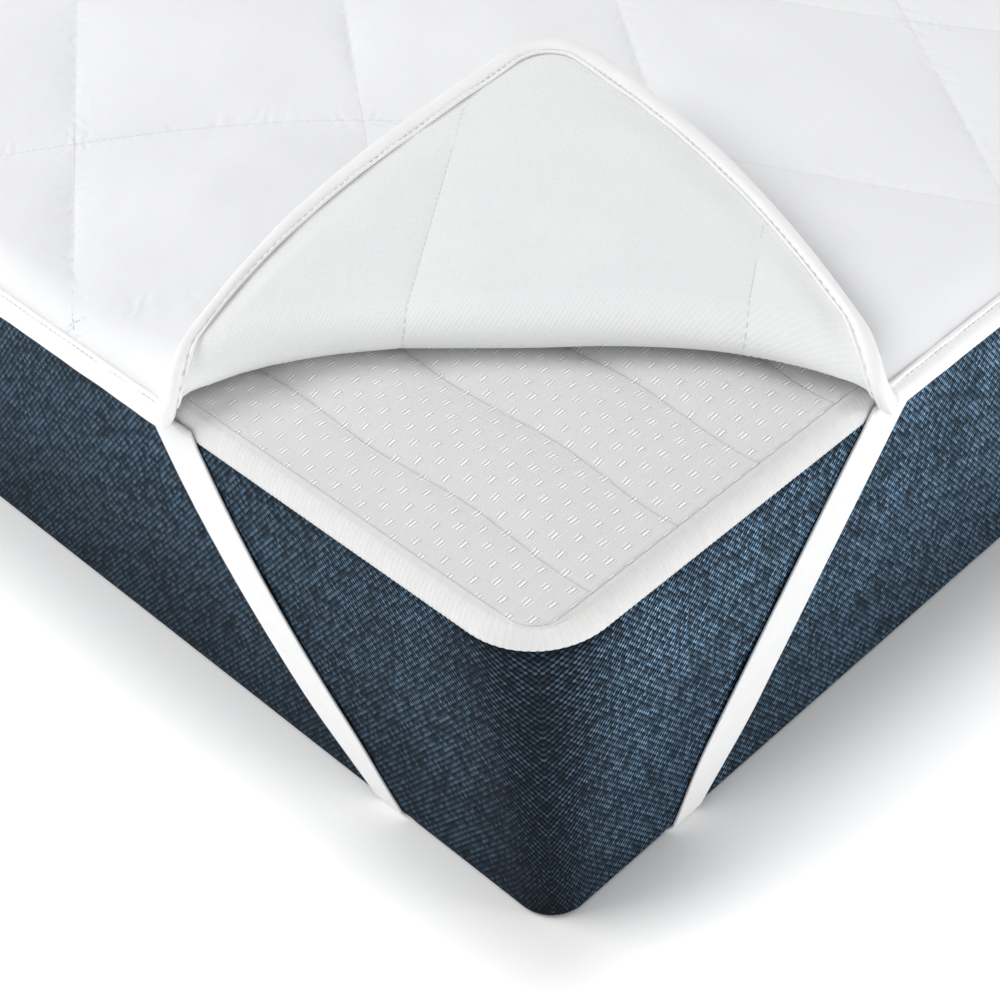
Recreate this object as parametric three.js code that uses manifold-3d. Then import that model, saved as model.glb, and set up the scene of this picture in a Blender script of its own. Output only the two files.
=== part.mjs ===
// Quilted mattress protector on a mattress, with one corner folded back and elastic corner straps.
// Millimetres, +Z up. The mattress stands on z = 0, centred on the Z axis, its length along Y.
import * as THREE from "three";
import Module from "manifold-3d";
import { mergeVertices } from "three/addons/utils/BufferGeometryUtils.js";

const wasm = await Module();
wasm.setup();

// Driving dimensions

const GAP = 0.3; // between pieces that meet

const MATTRESS = {
  width: 900,
  length: 2000,
  seam: 172, // height of the line where the edge tape meets the side cover
  cornerTop: 40, // plan radius of the corners at the tape
  cornerBottom: 20, // plan radius of the corners at the floor
  bottomRound: 4, // rounding of the lower edge
  tapeRise: 14,
  tapeDepth: 8,
  cornerInside: 14.3, // plan radius of the corners where the tape meets the top panel
  crown: 5, // rise of the top panel from the tape to its flat middle
  crownReach: 30,
  channelPitch: 53, // sewn channels of the top panel, across the mattress
  channelStart: 42, // first channel seam, from the front end
  channelDepth: 3,
};

const SHEET = {
  overhang: 14, // flat size beyond each side of the mattress
  cornerRadius: 32,
  height: 195.4, // middle surface of the sheet where it lies flat
  shoulderInset: 16, // where the sheet starts to turn down, from the side of the mattress
  shoulderRadius: 24,
  shoulderCorner: 28, // plan radius that the sheet follows round the corners
  rim: 2.5, // half thickness under the binding and in the seams
  puffTop: 8.5, // how far the padding rises above a seam
  puffBelow: 1.5, // and sinks below it, where the sheet lies on the mattress
  puffFree: 5, // and on the turned corner, whose underside is free
  puffPower: 0.75, // how full the padding is towards the seams
};

// The fold runs across the front right corner. s is measured from the corner along its diagonal, t across it.
const FOLD = {
  middle: 196.5, // s of the crease at its middle and at its two ends
  frontEnd: 155,
  sideEnd: 146,
  frontBow: 4.8, // how late the crease bends towards each end
  sideBow: 3,
  radius: 10, // roll radius of the crease at its middle and at its side end
  sideRadius: 13,
  bulge: 0.8, // how far the roll is pressed out of round, most at bulgeAt
  bulgeAt: 95,
  bulgeReach: 110,
  lift: THREE.MathUtils.degToRad(10.2), // angle of the turned corner above level
  slant: 0.064, // sideways run of the turned corner
  pinch: 0.6, // how much the padding is flattened inside the roll
};

// Two families of seams make the diamonds: columns nearly along s, rows nearly along t.
const QUILT = {
  columnPitch: 152.5,
  columnStart: -88,
  columnSlope: 0.14,
  columnPivot: 390,
  rowPitch: 168,
  foldRowPitch: 150, // of the row that the fold takes up
  cornerRowPitch: 190, // of the row on the turned corner
  rowStart: 325,
  rowSlope: 0.1,
  rowWave: 43,
  rowWaveAt: -80,
  rowWaveLength: 860,
  steps: 4, // mesh steps in one diamond
};

const BINDING = {
  width: 11, // on each face of the sheet
  thickness: 1.2,
  clearance: 0.6, // to the sheet inside it, over its bends
  nose: 1.6, // roundness of the folded edge
};

const STRAP = {
  width: 27,
  gathered: 0.55, // part of the width that is left under the mattress
  gatherRise: 45, // height over which the strap widens again
  thickness: 1.5,
  endFoot: 103, // where the strap turns under the mattress, from the corner along the end
  endSlope: 1.12, // run along the end for each millimetre of height
  endBow: 0.0021, // how the run falls off with height
  sideFoot: 86,
  sideSlope: 0.815,
  sideBow: 0,
  top: 178.2, // sewn end, behind the binding
  topStandoff: 1.35, // middle of the strap from the mattress side, at the sewn end
  standoff: 1.05, // and on the way down
  floorHeight: 0.95, // middle of the strap above the floor, in its groove
  grooveSide: 1, // room beside the strap in its groove
};

const COLORS = {
  cover: 0xf1f2f4,
  satin: 0xf6f7f8,
  elastic: 0xf4f4f4,
  navy: 0x25303f,
  knit: 0xdedede,
  tape: 0xf0f0ee,
};

// Shared helpers

const lerp = THREE.MathUtils.lerp;

function signedVolume(points, triangles) {
  let total = 0;
  for (const [i, j, k] of triangles) {
    total += points[i].dot(new THREE.Vector3().crossVectors(points[j], points[k])) / 6;
  }
  return total;
}

// A closed solid from points and triangles, turned right side out.
function solidGeometry(points, triangles) {
  const outward = signedVolume(points, triangles) > 0;
  const index = triangles.flatMap(([i, j, k]) => (outward ? [i, j, k] : [i, k, j]));
  const geometry = new THREE.BufferGeometry().setFromPoints(points);
  geometry.setIndex(index);
  geometry.computeVertexNormals();
  return geometry;
}

function makeMesh(name, geometry, color, roughness) {
  const material = new THREE.MeshStandardMaterial({ color, roughness, metalness: 0 });
  const mesh = new THREE.Mesh(geometry, material);
  mesh.name = name;
  return mesh;
}

// Plan outline of the mattress, moved inwards by inset, counterclockwise from the right side.
function mattressOutline(inset, radius, stepsPerCorner) {
  const outline = [];
  const halfWidth = MATTRESS.width / 2 - inset - radius;
  const halfLength = MATTRESS.length / 2 - inset - radius;
  const corners = [[1, 1], [-1, 1], [-1, -1], [1, -1]];
  corners.forEach(([signX, signY], quarter) => {
    for (let step = 0; step <= stepsPerCorner; step += 1) {
      const angle = (quarter + step / stepsPerCorner) * Math.PI / 2;
      const x = signX * halfWidth + radius * Math.cos(angle);
      const y = signY * halfLength + radius * Math.sin(angle);
      outline.push(new THREE.Vector2(x, y));
    }
  });
  return outline;
}

// Triangles between two neighbouring closed rings of count points. turned lists the edges of the ring
// whose four-sided faces are split along the other diagonal.
function ringBand(first, second, count, turned = []) {
  const triangles = [];
  for (let i = 0; i < count; i += 1) {
    const next = (i + 1) % count;
    if (turned.includes(i)) {
      triangles.push([first + i, first + next, second + i], [first + next, second + next, second + i]);
    } else {
      triangles.push([first + i, first + next, second + next], [first + i, second + next, second + i]);
    }
  }
  return triangles;
}

// A solid through a stack of rings, closed by a fan at each end.
function loftGeometry(rings) {
  const count = rings[0].length;
  const points = rings.flat();
  const triangles = [];
  for (let level = 0; level + 1 < rings.length; level += 1) {
    triangles.push(...ringBand(level * count, (level + 1) * count, count));
  }
  const lastRing = (rings.length - 1) * count;
  const middleOf = (ring) => new THREE.Vector3(0, 0, ring[0].z);
  const bottom = points.push(middleOf(rings[0])) - 1;
  const top = points.push(middleOf(rings[rings.length - 1])) - 1;
  for (let i = 0; i < count; i += 1) {
    const next = (i + 1) % count;
    triangles.push([bottom, next, i], [top, lastRing + i, lastRing + next]);
  }
  return solidGeometry(points, triangles);
}

// A closed section carried round a closed path: sections[i] is the loop at station i.
function closedSweepGeometry(sections, turned = []) {
  const count = sections[0].length;
  const points = sections.flat();
  const triangles = [];
  sections.forEach((section, i) => {
    const next = (i + 1) % sections.length;
    triangles.push(...ringBand(i * count, next * count, count, turned));
  });
  return solidGeometry(points, triangles);
}

function toManifold(geometry) {
  const bare = geometry.clone();
  bare.deleteAttribute("normal");
  bare.deleteAttribute("uv");
  const merged = mergeVertices(bare, 1e-3);
  return new wasm.Manifold(new wasm.Mesh({
    numProp: 3,
    vertProperties: new Float32Array(merged.getAttribute("position").array),
    triVerts: new Uint32Array(merged.getIndex().array),
  }));
}

function fromManifold(solid) {
  const mesh = solid.getMesh();
  const geometry = new THREE.BufferGeometry();
  geometry.setAttribute("position", new THREE.BufferAttribute(mesh.vertProperties, 3));
  geometry.setIndex(new THREE.BufferAttribute(mesh.triVerts, 1));
  geometry.computeVertexNormals();
  return geometry;
}

// Mattress

const MATTRESS_CORNER_STEPS = 8;

function cornerRadiusAt(z) {
  return lerp(MATTRESS.cornerBottom, MATTRESS.cornerTop, z / MATTRESS.seam);
}

function sideRing(inset, z) {
  const outline = mattressOutline(inset, cornerRadiusAt(z) - inset, MATTRESS_CORNER_STEPS);
  return outline.map((point) => new THREE.Vector3(point.x, point.y, z));
}

function mattressSideGeometry() {
  const rings = [];
  const roundSteps = 5;
  for (let step = 0; step <= roundSteps; step += 1) {
    const angle = (step / roundSteps) * Math.PI / 2;
    const inset = MATTRESS.bottomRound * (1 - Math.sin(angle));
    rings.push(sideRing(inset, MATTRESS.bottomRound * (1 - Math.cos(angle))));
  }
  rings.push(sideRing(0, MATTRESS.seam - GAP));
  return loftGeometry(rings);
}

// Quarter of an ellipse from the side of the mattress up to its top panel, with a flat foot.
function mattressTapeGeometry() {
  const sectionSteps = 5;
  const section = [];
  for (let step = 0; step <= sectionSteps; step += 1) {
    const angle = (step / sectionSteps) * Math.PI / 2;
    section.push({ inward: 1 - Math.cos(angle), z: MATTRESS.seam + MATTRESS.tapeRise * Math.sin(angle) });
  }
  section.push({ inward: 1, z: MATTRESS.seam });
  const outside = mattressOutline(0, MATTRESS.cornerTop, MATTRESS_CORNER_STEPS);
  const inside = mattressOutline(MATTRESS.tapeDepth, MATTRESS.cornerInside, MATTRESS_CORNER_STEPS);
  const stations = outside.map((point, i) => section.map(({ inward, z }) => {
    const place = point.clone().lerp(inside[i], inward);
    return new THREE.Vector3(place.x, place.y, z);
  }));
  return closedSweepGeometry(stations);
}

const TOP_INSET = MATTRESS.tapeDepth + GAP;
const TOP_HALF_WIDTH = MATTRESS.width / 2 - TOP_INSET;
const TOP_HALF_LENGTH = MATTRESS.length / 2 - TOP_INSET;
const TOP_RADIUS = MATTRESS.cornerInside - GAP;

// How far a point of the top panel lies inside its outline.
function topPanelDepth(x, y) {
  const fromSide = TOP_HALF_WIDTH - Math.abs(x);
  const fromEnd = TOP_HALF_LENGTH - Math.abs(y);
  if (fromSide < TOP_RADIUS && fromEnd < TOP_RADIUS) {
    return TOP_RADIUS - Math.hypot(TOP_RADIUS - fromSide, TOP_RADIUS - fromEnd);
  }
  return Math.min(fromSide, fromEnd);
}

// Height of the mattress top: a crown, drawn down along the channel seams.
function topPanelHeight(x, y) {
  const depth = Math.max(topPanelDepth(x, y), 0);
  const crown = MATTRESS.crown * (1 - Math.exp(-((depth / MATTRESS.crownReach) ** 2)));
  const fromEnd = y + MATTRESS.length / 2 - MATTRESS.channelStart;
  const puff = Math.sqrt(Math.abs(Math.sin(Math.PI * fromEnd / MATTRESS.channelPitch)));
  const edge = Math.min(1, depth / MATTRESS.crownReach);
  return MATTRESS.seam + MATTRESS.tapeRise + crown - MATTRESS.channelDepth * (1 - puff) * edge;
}

function topPanelRows() {
  const rows = [];
  for (let step = 0; step <= MATTRESS_CORNER_STEPS; step += 1) {
    const angle = (step / MATTRESS_CORNER_STEPS) * Math.PI / 2;
    const y = TOP_HALF_LENGTH - TOP_RADIUS * (1 - Math.cos(angle));
    rows.push(-y, y);
  }
  const clear = TOP_HALF_LENGTH - TOP_RADIUS - 1;
  const channels = Math.ceil(MATTRESS.length / MATTRESS.channelPitch);
  for (let channel = -1; channel < channels; channel += 1) {
    for (const part of [0, 0.2, 0.5, 0.8]) {
      const fromEnd = MATTRESS.channelStart + (channel + part) * MATTRESS.channelPitch;
      const y = fromEnd - MATTRESS.length / 2;
      if (Math.abs(y) < clear) {
        rows.push(y);
      }
    }
  }
  return rows.sort((first, second) => first - second);
}

function mattressTopGeometry() {
  const insets = [0, 10, 25, 55];
  const points = [];
  const triangles = [];
  const underside = [];
  const rows = topPanelRows().map((y) => {
    const intoCorner = THREE.MathUtils.clamp(Math.abs(y) - TOP_HALF_LENGTH + TOP_RADIUS, 0, TOP_RADIUS);
    const halfWidth = TOP_HALF_WIDTH - TOP_RADIUS + Math.sqrt(TOP_RADIUS ** 2 - intoCorner ** 2);
    const left = insets.map((inset) => inset - halfWidth);
    const right = [...left].reverse().map((x) => -x);
    const ends = [-halfWidth, halfWidth];
    underside.push(ends.map((x) => points.push(new THREE.Vector3(x, y, MATTRESS.seam)) - 1));
    return [...left, 0, ...right].map((x) => (
      points.push(new THREE.Vector3(x, y, topPanelHeight(x, y))) - 1));
  });
  const addQuad = (i, j, k, l) => triangles.push([i, j, k], [i, k, l]);
  for (let row = 0; row + 1 < rows.length; row += 1) {
    const [near, far] = [rows[row], rows[row + 1]];
    const [[nearLeft, nearRight], [farLeft, farRight]] = [underside[row], underside[row + 1]];
    for (let column = 0; column + 1 < near.length; column += 1) {
      addQuad(near[column], near[column + 1], far[column + 1], far[column]);
    }
    addQuad(nearLeft, near[0], far[0], farLeft);
    addQuad(near[near.length - 1], nearRight, farRight, far[far.length - 1]);
    addQuad(nearRight, nearLeft, farLeft, farRight);
  }
  const addEndWall = (row, [left, right], reversed) => {
    const loop = [right, ...[...row].reverse()];
    for (let i = 0; i + 1 < loop.length; i += 1) {
      triangles.push(reversed ? [left, loop[i + 1], loop[i]] : [left, loop[i], loop[i + 1]]);
    }
  };
  addEndWall(rows[0], underside[0], false);
  addEndWall(rows[rows.length - 1], underside[underside.length - 1], true);
  return solidGeometry(points, triangles);
}

// Protector sheet: flat coordinates, drape and fold

// The flat sheet is measured from the front right corner of the mattress: a along its length, b across it.
const SHEET_LOW = -SHEET.overhang;
const SHEET_HIGH_A = MATTRESS.length + SHEET.overhang;
const SHEET_HIGH_B = MATTRESS.width + SHEET.overhang;

function diagonalOf(a, b) {
  return { s: (a + b) / Math.SQRT2, t: (a - b) / Math.SQRT2 };
}

function flatOf(s, t) {
  return { a: (s + t) / Math.SQRT2, b: (s - t) / Math.SQRT2 };
}

// Distance beyond the line where the sheet starts to turn down, with its direction.
function shoulderOffset(a, b) {
  const centre = SHEET.shoulderCorner;
  const pastA = Math.min(a - centre, 0) + Math.max(a - (MATTRESS.length - centre), 0);
  const pastB = Math.min(b - centre, 0) + Math.max(b - (MATTRESS.width - centre), 0);
  const reach = Math.hypot(pastA, pastB);
  const distance = Math.max(reach - (centre - SHEET.shoulderInset), 0);
  return { distance, outA: reach > 0 ? pastA / reach : 0, outB: reach > 0 ? pastB / reach : 0 };
}

// The unfolded sheet, draped over the edge of the mattress.
function drape(a, b) {
  const { distance, outA, outB } = shoulderOffset(a, b);
  const angle = distance / SHEET.shoulderRadius;
  const move = SHEET.shoulderRadius * Math.sin(angle) - distance;
  const drop = SHEET.shoulderRadius * (1 - Math.cos(angle));
  return { a: a + outA * move, b: b + outB * move, z: SHEET.height - drop };
}

const FOLD_FRONT_T = FOLD.frontEnd - SHEET_LOW * Math.SQRT2;
const FOLD_SIDE_T = FOLD.sideEnd - SHEET_LOW * Math.SQRT2;

// Crease position and roll radius at t.
function creaseAt(t) {
  const atFront = t < 0;
  const along = Math.min(Math.abs(t) / (atFront ? FOLD_FRONT_T : FOLD_SIDE_T), 1);
  const bend = along ** (atFront ? FOLD.frontBow : FOLD.sideBow);
  const end = atFront ? FOLD.frontEnd : FOLD.sideEnd;
  const endRadius = atFront ? FOLD.radius : FOLD.sideRadius;
  return { s: lerp(FOLD.middle, end, bend), radius: lerp(FOLD.radius, endRadius, bend) };
}

const ROLL_TURN = Math.PI - FOLD.lift;

// Middle surface of the sheet at flat a, b, and how far round the roll the point is.
function placeSheet(a, b) {
  const { s, t } = diagonalOf(a, b);
  const crease = creaseAt(t);
  const past = Math.max(crease.s - s, 0);
  const start = flatOf(Math.max(s, crease.s), t);
  const base = drape(start.a, start.b);
  const turn = Math.min(past / crease.radius, ROLL_TURN);
  const beyond = past - turn * crease.radius;
  const bulge = 1 + FOLD.bulge * Math.exp(-(((t - FOLD.bulgeAt) / FOLD.bulgeReach) ** 2));
  const alongS = -crease.radius * bulge * Math.sin(turn) + beyond * Math.cos(FOLD.lift);
  const up = crease.radius * (1 - Math.cos(turn)) + beyond * Math.sin(FOLD.lift);
  const shift = flatOf(alongS, FOLD.slant * past);
  const point = new THREE.Vector3(
    MATTRESS.width / 2 - (base.b + shift.b),
    (base.a + shift.a) - MATTRESS.length / 2,
    base.z + up,
  );
  return { point, turn };
}

function sheetNormal(a, b) {
  const step = 1.5;
  const alongA = placeSheet(a + step, b).point.sub(placeSheet(a - step, b).point);
  const alongB = placeSheet(a, b + step).point.sub(placeSheet(a, b - step).point);
  return alongA.cross(alongB).normalize();
}

// Quilting

function quiltRowOffset(t) {
  const wave = Math.cos(2 * Math.PI * (t - QUILT.rowWaveAt) / QUILT.rowWaveLength);
  return QUILT.rowWave * wave - QUILT.rowSlope * t;
}

// Whole numbers on the row seams, from the distance beyond the first one behind the fold.
function quiltRow(fromSeam) {
  if (fromSeam > 0) {
    return fromSeam / QUILT.rowPitch;
  }
  const pastFold = Math.min(fromSeam + QUILT.foldRowPitch, 0);
  return (fromSeam - pastFold) / QUILT.foldRowPitch + pastFold / QUILT.cornerRowPitch;
}

// Height of the padding between seams, from 0 on a seam to 1.
function quiltPuff(a, b) {
  const { s, t } = diagonalOf(a, b);
  const column = (t + QUILT.columnSlope * (s - QUILT.columnPivot) - QUILT.columnStart) / QUILT.columnPitch;
  const row = quiltRow(s - quiltRowOffset(t) - QUILT.rowStart);
  return Math.abs(Math.sin(Math.PI * column) * Math.sin(Math.PI * row)) ** SHEET.puffPower;
}

// Mesh of the flat sheet: rows along the crease and the seams inside, bands round the edge

// The inner field is a rectangle with its corners at the centres of the rounded corners.
const FIELD = {
  lowA: SHEET_LOW + SHEET.cornerRadius,
  lowB: SHEET_LOW + SHEET.cornerRadius,
  highA: SHEET_HIGH_A - SHEET.cornerRadius,
  highB: SHEET_HIGH_B - SHEET.cornerRadius,
};
// From a corner of the field to where the side of the mattress is straight.
const CORNER_RUN = MATTRESS.cornerTop - FIELD.lowA;
const BAND_INSETS = [22, BINDING.width + 1, 0];
const SHEET_CORNER_STEPS = 6;

// Each row is a curve s(t), listed from the folded corner to the far one.
function sheetRowCurves() {
  const curves = [];
  const rollEnd = (t) => creaseAt(t).s - creaseAt(t).radius * ROLL_TURN;
  for (const beyond of [122, 102, 80, 56, 32, 12]) {
    curves.push((t) => rollEnd(t) - beyond);
  }
  const rollSteps = 7;
  for (let step = rollSteps; step >= 0; step -= 1) {
    curves.push((t) => lerp(creaseAt(t).s, rollEnd(t), step / rollSteps));
  }
  const seamRow = (t) => QUILT.rowStart + quiltRowOffset(t);
  for (const part of [0.08, 0.25, 0.5, 0.75]) {
    curves.push((t) => lerp(creaseAt(t).s, seamRow(t), part));
  }
  const rowStep = QUILT.rowPitch / QUILT.steps;
  const rowCount = Math.ceil((MATTRESS.length + MATTRESS.width) / rowStep);
  for (let row = 0; row < rowCount; row += 1) {
    curves.push((t) => seamRow(t) + row * rowStep);
  }
  return curves;
}

// The t at which a rising function of t passes zero.
function solveRising(rising) {
  let low = -3 * MATTRESS.length;
  let high = 3 * MATTRESS.length;
  for (let step = 0; step < 60; step += 1) {
    const middle = (low + high) / 2;
    if (rising(middle) < 0) {
      low = middle;
    } else {
      high = middle;
    }
  }
  return (low + high) / 2;
}

// Both ends of a row inside the field, each with the side of the field that it lies on.
function rowEnds(curve) {
  const front = solveRising((t) => curve(t) + t - FIELD.lowA * Math.SQRT2);
  const farSide = solveRising((t) => t - curve(t) + FIELD.highB * Math.SQRT2);
  const nearSide = solveRising((t) => t - curve(t) + FIELD.lowB * Math.SQRT2);
  const back = solveRising((t) => curve(t) + t - FIELD.highA * Math.SQRT2);
  const left = front > farSide ? { t: front, side: "front" } : { t: farSide, side: "farSide" };
  const right = nearSide < back ? { t: nearSide, side: "nearSide" } : { t: back, side: "back" };
  return { left, right };
}

// Crossings of a row with the columns, which drift sideways as s grows.
function rowColumns(curve, fromT, toT) {
  const step = QUILT.columnPitch / QUILT.steps;
  const clear = step * 0.4;
  const crossings = [];
  const reach = Math.ceil(2 * MATTRESS.length / step);
  for (let column = -reach; column <= reach; column += 1) {
    let t = 0;
    for (let round = 0; round < 12; round += 1) {
      const drift = QUILT.columnSlope * (curve(t) - QUILT.columnPivot);
      t = QUILT.columnStart + column * step - drift;
    }
    if (t > fromT + clear && t < toT - clear) {
      crossings.push(t);
    }
  }
  return crossings;
}

// Triangles between two rows that run the same way, the first nearer the folded corner.
function stitchRows(first, second) {
  const triangles = [];
  let i = 0;
  let j = 0;
  while (i + 1 < first.length || j + 1 < second.length) {
    const firstEnds = i + 1 >= first.length;
    const secondEnds = j + 1 >= second.length;
    if (!firstEnds && (secondEnds || first[i + 1].t <= second[j + 1].t)) {
      triangles.push([first[i].id, first[i + 1].id, second[j].id]);
      i += 1;
    } else {
      triangles.push([first[i].id, second[j + 1].id, second[j].id]);
      j += 1;
    }
  }
  return triangles;
}

// Flat points with their inset from the edge, the triangles between them, and the stations round the edge.
function flatSheetMesh() {
  const points = [];
  const triangles = [];
  const addPoint = (a, b, inset) => points.push({ a, b, inset }) - 1;
  const addRowPoint = (s, t) => {
    const { a, b } = flatOf(s, t);
    return { id: addPoint(a, b, SHEET.cornerRadius), t };
  };
  const addCorner = (a, b) => ({ id: addPoint(a, b, SHEET.cornerRadius), t: diagonalOf(a, b).t });

  const nearCorner = addCorner(FIELD.lowA, FIELD.lowB);
  const backCorner = addCorner(FIELD.highA, FIELD.lowB);
  const farCorner = addCorner(FIELD.highA, FIELD.highB);
  const leftCorner = addCorner(FIELD.lowA, FIELD.highB);

  // Points beside the back and left corners, where the mattress side turns straight.
  const besideCorner = {
    front: addCorner(FIELD.lowA, FIELD.highB - CORNER_RUN),
    farSide: addCorner(FIELD.lowA + CORNER_RUN, FIELD.highB),
    nearSide: addCorner(FIELD.highA - CORNER_RUN, FIELD.lowB),
    back: addCorner(FIELD.highA, FIELD.lowB + CORNER_RUN),
  };
  const besideFarCorner = [
    addCorner(FIELD.highA - CORNER_RUN, FIELD.highB),
    addCorner(FIELD.highA, FIELD.highB - CORNER_RUN),
  ];
  const sides = { nearSide: [], back: [], farSide: [], front: [] };
  for (const side of Object.keys(sides)) {
    sides[side].push(besideCorner[side]);
  }
  sides.farSide.push(besideFarCorner[0]);
  sides.back.push(besideFarCorner[1]);

  // The end of a row on the edge of the field, or the point beside the corner that it comes close to.
  const addRowEnd = (curve, { t, side }) => {
    const beside = besideCorner[side];
    if (Math.abs(t - beside.t) < CORNER_RUN) {
      return beside;
    }
    const end = addRowPoint(curve(t), t);
    sides[side].push(end);
    return end;
  };

  const rows = [{ points: [nearCorner], left: "front", right: "nearSide" }];
  const shortestRow = 3 * CORNER_RUN;
  for (const curve of sheetRowCurves()) {
    const { left, right } = rowEnds(curve);
    if (right.t - left.t < shortestRow && left.side === "farSide") {
      continue;
    }
    const inner = rowColumns(curve, left.t, right.t).map((t) => addRowPoint(curve(t), t));
    const rowPoints = [addRowEnd(curve, left), ...inner, addRowEnd(curve, right)];
    rows.push({ points: rowPoints, left: left.side, right: right.side });
  }
  rows.push({ points: besideFarCorner, left: "farSide", right: "back" });
  rows.push({ points: [farCorner], left: "farSide", right: "back" });

  for (let i = 0; i + 1 < rows.length; i += 1) {
    const [row, next] = [rows[i], rows[i + 1]];
    const lower = [...row.points];
    const upper = [...next.points];
    const leftTurns = row.left !== next.left;
    const rightTurns = row.right !== next.right;
    if (leftTurns && lower[0] !== besideCorner.front) {
      lower.unshift(besideCorner.front);
    }
    if (leftTurns && upper[0] !== besideCorner.farSide) {
      upper.unshift(besideCorner.farSide);
    }
    if (rightTurns && lower[lower.length - 1] !== besideCorner.nearSide) {
      lower.push(besideCorner.nearSide);
    }
    if (rightTurns && upper[upper.length - 1] !== besideCorner.back) {
      upper.push(besideCorner.back);
    }
    if (leftTurns) {
      lower.unshift(leftCorner);
    }
    if (rightTurns) {
      lower.push(backCorner);
    }
    triangles.push(...stitchRows(lower, upper));
  }

  const stations = [];
  const addStation = (id, outA, outB) => {
    const { a, b } = points[id];
    const band = BAND_INSETS.map((inset) => {
      const reach = SHEET.cornerRadius - inset;
      return addPoint(a + outA * reach, b + outB * reach, inset);
    });
    stations.push([id, ...band]);
  };
  const addCornerStations = (corner, startAngle) => {
    for (let step = 0; step <= SHEET_CORNER_STEPS; step += 1) {
      const angle = startAngle + (step / SHEET_CORNER_STEPS) * Math.PI / 2;
      addStation(corner.id, Math.cos(angle), Math.sin(angle));
    }
  };
  const byT = (first, second) => first.t - second.t;
  addCornerStations(nearCorner, Math.PI);
  sides.nearSide.sort(byT).forEach(({ id }) => addStation(id, 0, -1));
  addCornerStations(backCorner, -Math.PI / 2);
  sides.back.sort(byT).reverse().forEach(({ id }) => addStation(id, 1, 0));
  addCornerStations(farCorner, 0);
  sides.farSide.sort(byT).reverse().forEach(({ id }) => addStation(id, 0, 1));
  addCornerStations(leftCorner, Math.PI / 2);
  sides.front.sort(byT).forEach(({ id }) => addStation(id, -1, 0));

  stations.forEach((station, i) => {
    const next = stations[(i + 1) % stations.length];
    for (let band = 0; band + 1 < station.length; band += 1) {
      const [inner, outer] = [station[band], station[band + 1]];
      const [nextInner, nextOuter] = [next[band], next[band + 1]];
      triangles.push([inner, outer, nextOuter]);
      if (inner !== nextInner) {
        triangles.push([inner, nextOuter, nextInner]);
      }
    }
  });
  return { points, triangles, stations };
}

// Protector solids

const sheetMesh = flatSheetMesh();
const sheetPoints = sheetMesh.points.map(({ a, b, inset }) => {
  const { point, turn } = placeSheet(a, b);
  const edge = THREE.MathUtils.smoothstep(inset, BINDING.width + 1, SHEET.cornerRadius);
  const padding = quiltPuff(a, b) * edge;
  const squeezed = 1 - FOLD.pinch * Math.sin(turn);
  const puffBelow = lerp(SHEET.puffBelow, SHEET.puffFree, turn / ROLL_TURN);
  return {
    point,
    normal: sheetNormal(a, b),
    above: SHEET.rim + SHEET.puffTop * padding * squeezed,
    below: SHEET.rim + puffBelow * padding,
  };
});

function offsetPoint({ point, normal }, distance) {
  return point.clone().addScaledVector(normal, distance);
}

function protectorPanelGeometry() {
  const count = sheetPoints.length;
  const upper = sheetPoints.map((entry) => offsetPoint(entry, entry.above));
  const lower = sheetPoints.map((entry) => offsetPoint(entry, -entry.below));
  const triangles = [...sheetMesh.triangles];
  for (const [i, j, k] of sheetMesh.triangles) {
    triangles.push([i + count, k + count, j + count]);
  }
  const rim = sheetMesh.stations.map((station) => station[station.length - 1]);
  rim.forEach((id, i) => {
    const next = rim[(i + 1) % rim.length];
    triangles.push([id, id + count, next + count], [id, next + count, next]);
  });
  return solidGeometry([...upper, ...lower], triangles);
}

// The binding's section at one station: two lips and a rounded nose round the rim of the sheet.
function bindingSection(station) {
  const rim = sheetPoints[station[station.length - 1]];
  const inner = sheetPoints[station[station.length - 2]];
  const part = BINDING.width / (BINDING.width + 1);
  const lip = {
    point: rim.point.clone().lerp(inner.point, part),
    normal: rim.normal.clone().lerp(inner.normal, part).normalize(),
  };
  const outward = rim.point.clone().sub(inner.point).normalize();
  const inside = SHEET.rim + BINDING.clearance;
  const outside = inside + BINDING.thickness;
  const fromRim = (height, reach) => offsetPoint(rim, height).addScaledVector(outward, reach);
  const nose = BINDING.clearance + BINDING.thickness;
  return [
    offsetPoint(lip, inside),
    fromRim(inside, BINDING.clearance),
    fromRim(-inside, BINDING.clearance),
    offsetPoint(lip, -inside),
    offsetPoint(lip, -outside),
    fromRim(-outside, 0),
    fromRim(-outside / 2, nose),
    fromRim(0, nose + BINDING.nose / 2),
    fromRim(outside / 2, nose),
    fromRim(outside, 0),
    offsetPoint(lip, outside),
  ];
}

// The lower lip's faces are split the same way as the sheet's faces beside them.
const LOWER_LIP_EDGES = [2, 4];

function protectorBindingGeometry() {
  return closedSweepGeometry(sheetMesh.stations.map(bindingSection), LOWER_LIP_EDGES);
}

// Corner straps

const STRAP_HEIGHTS = [MATTRESS.seam - 14, 110, 70, 46, 32, 20, MATTRESS.bottomRound + 6];

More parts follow.
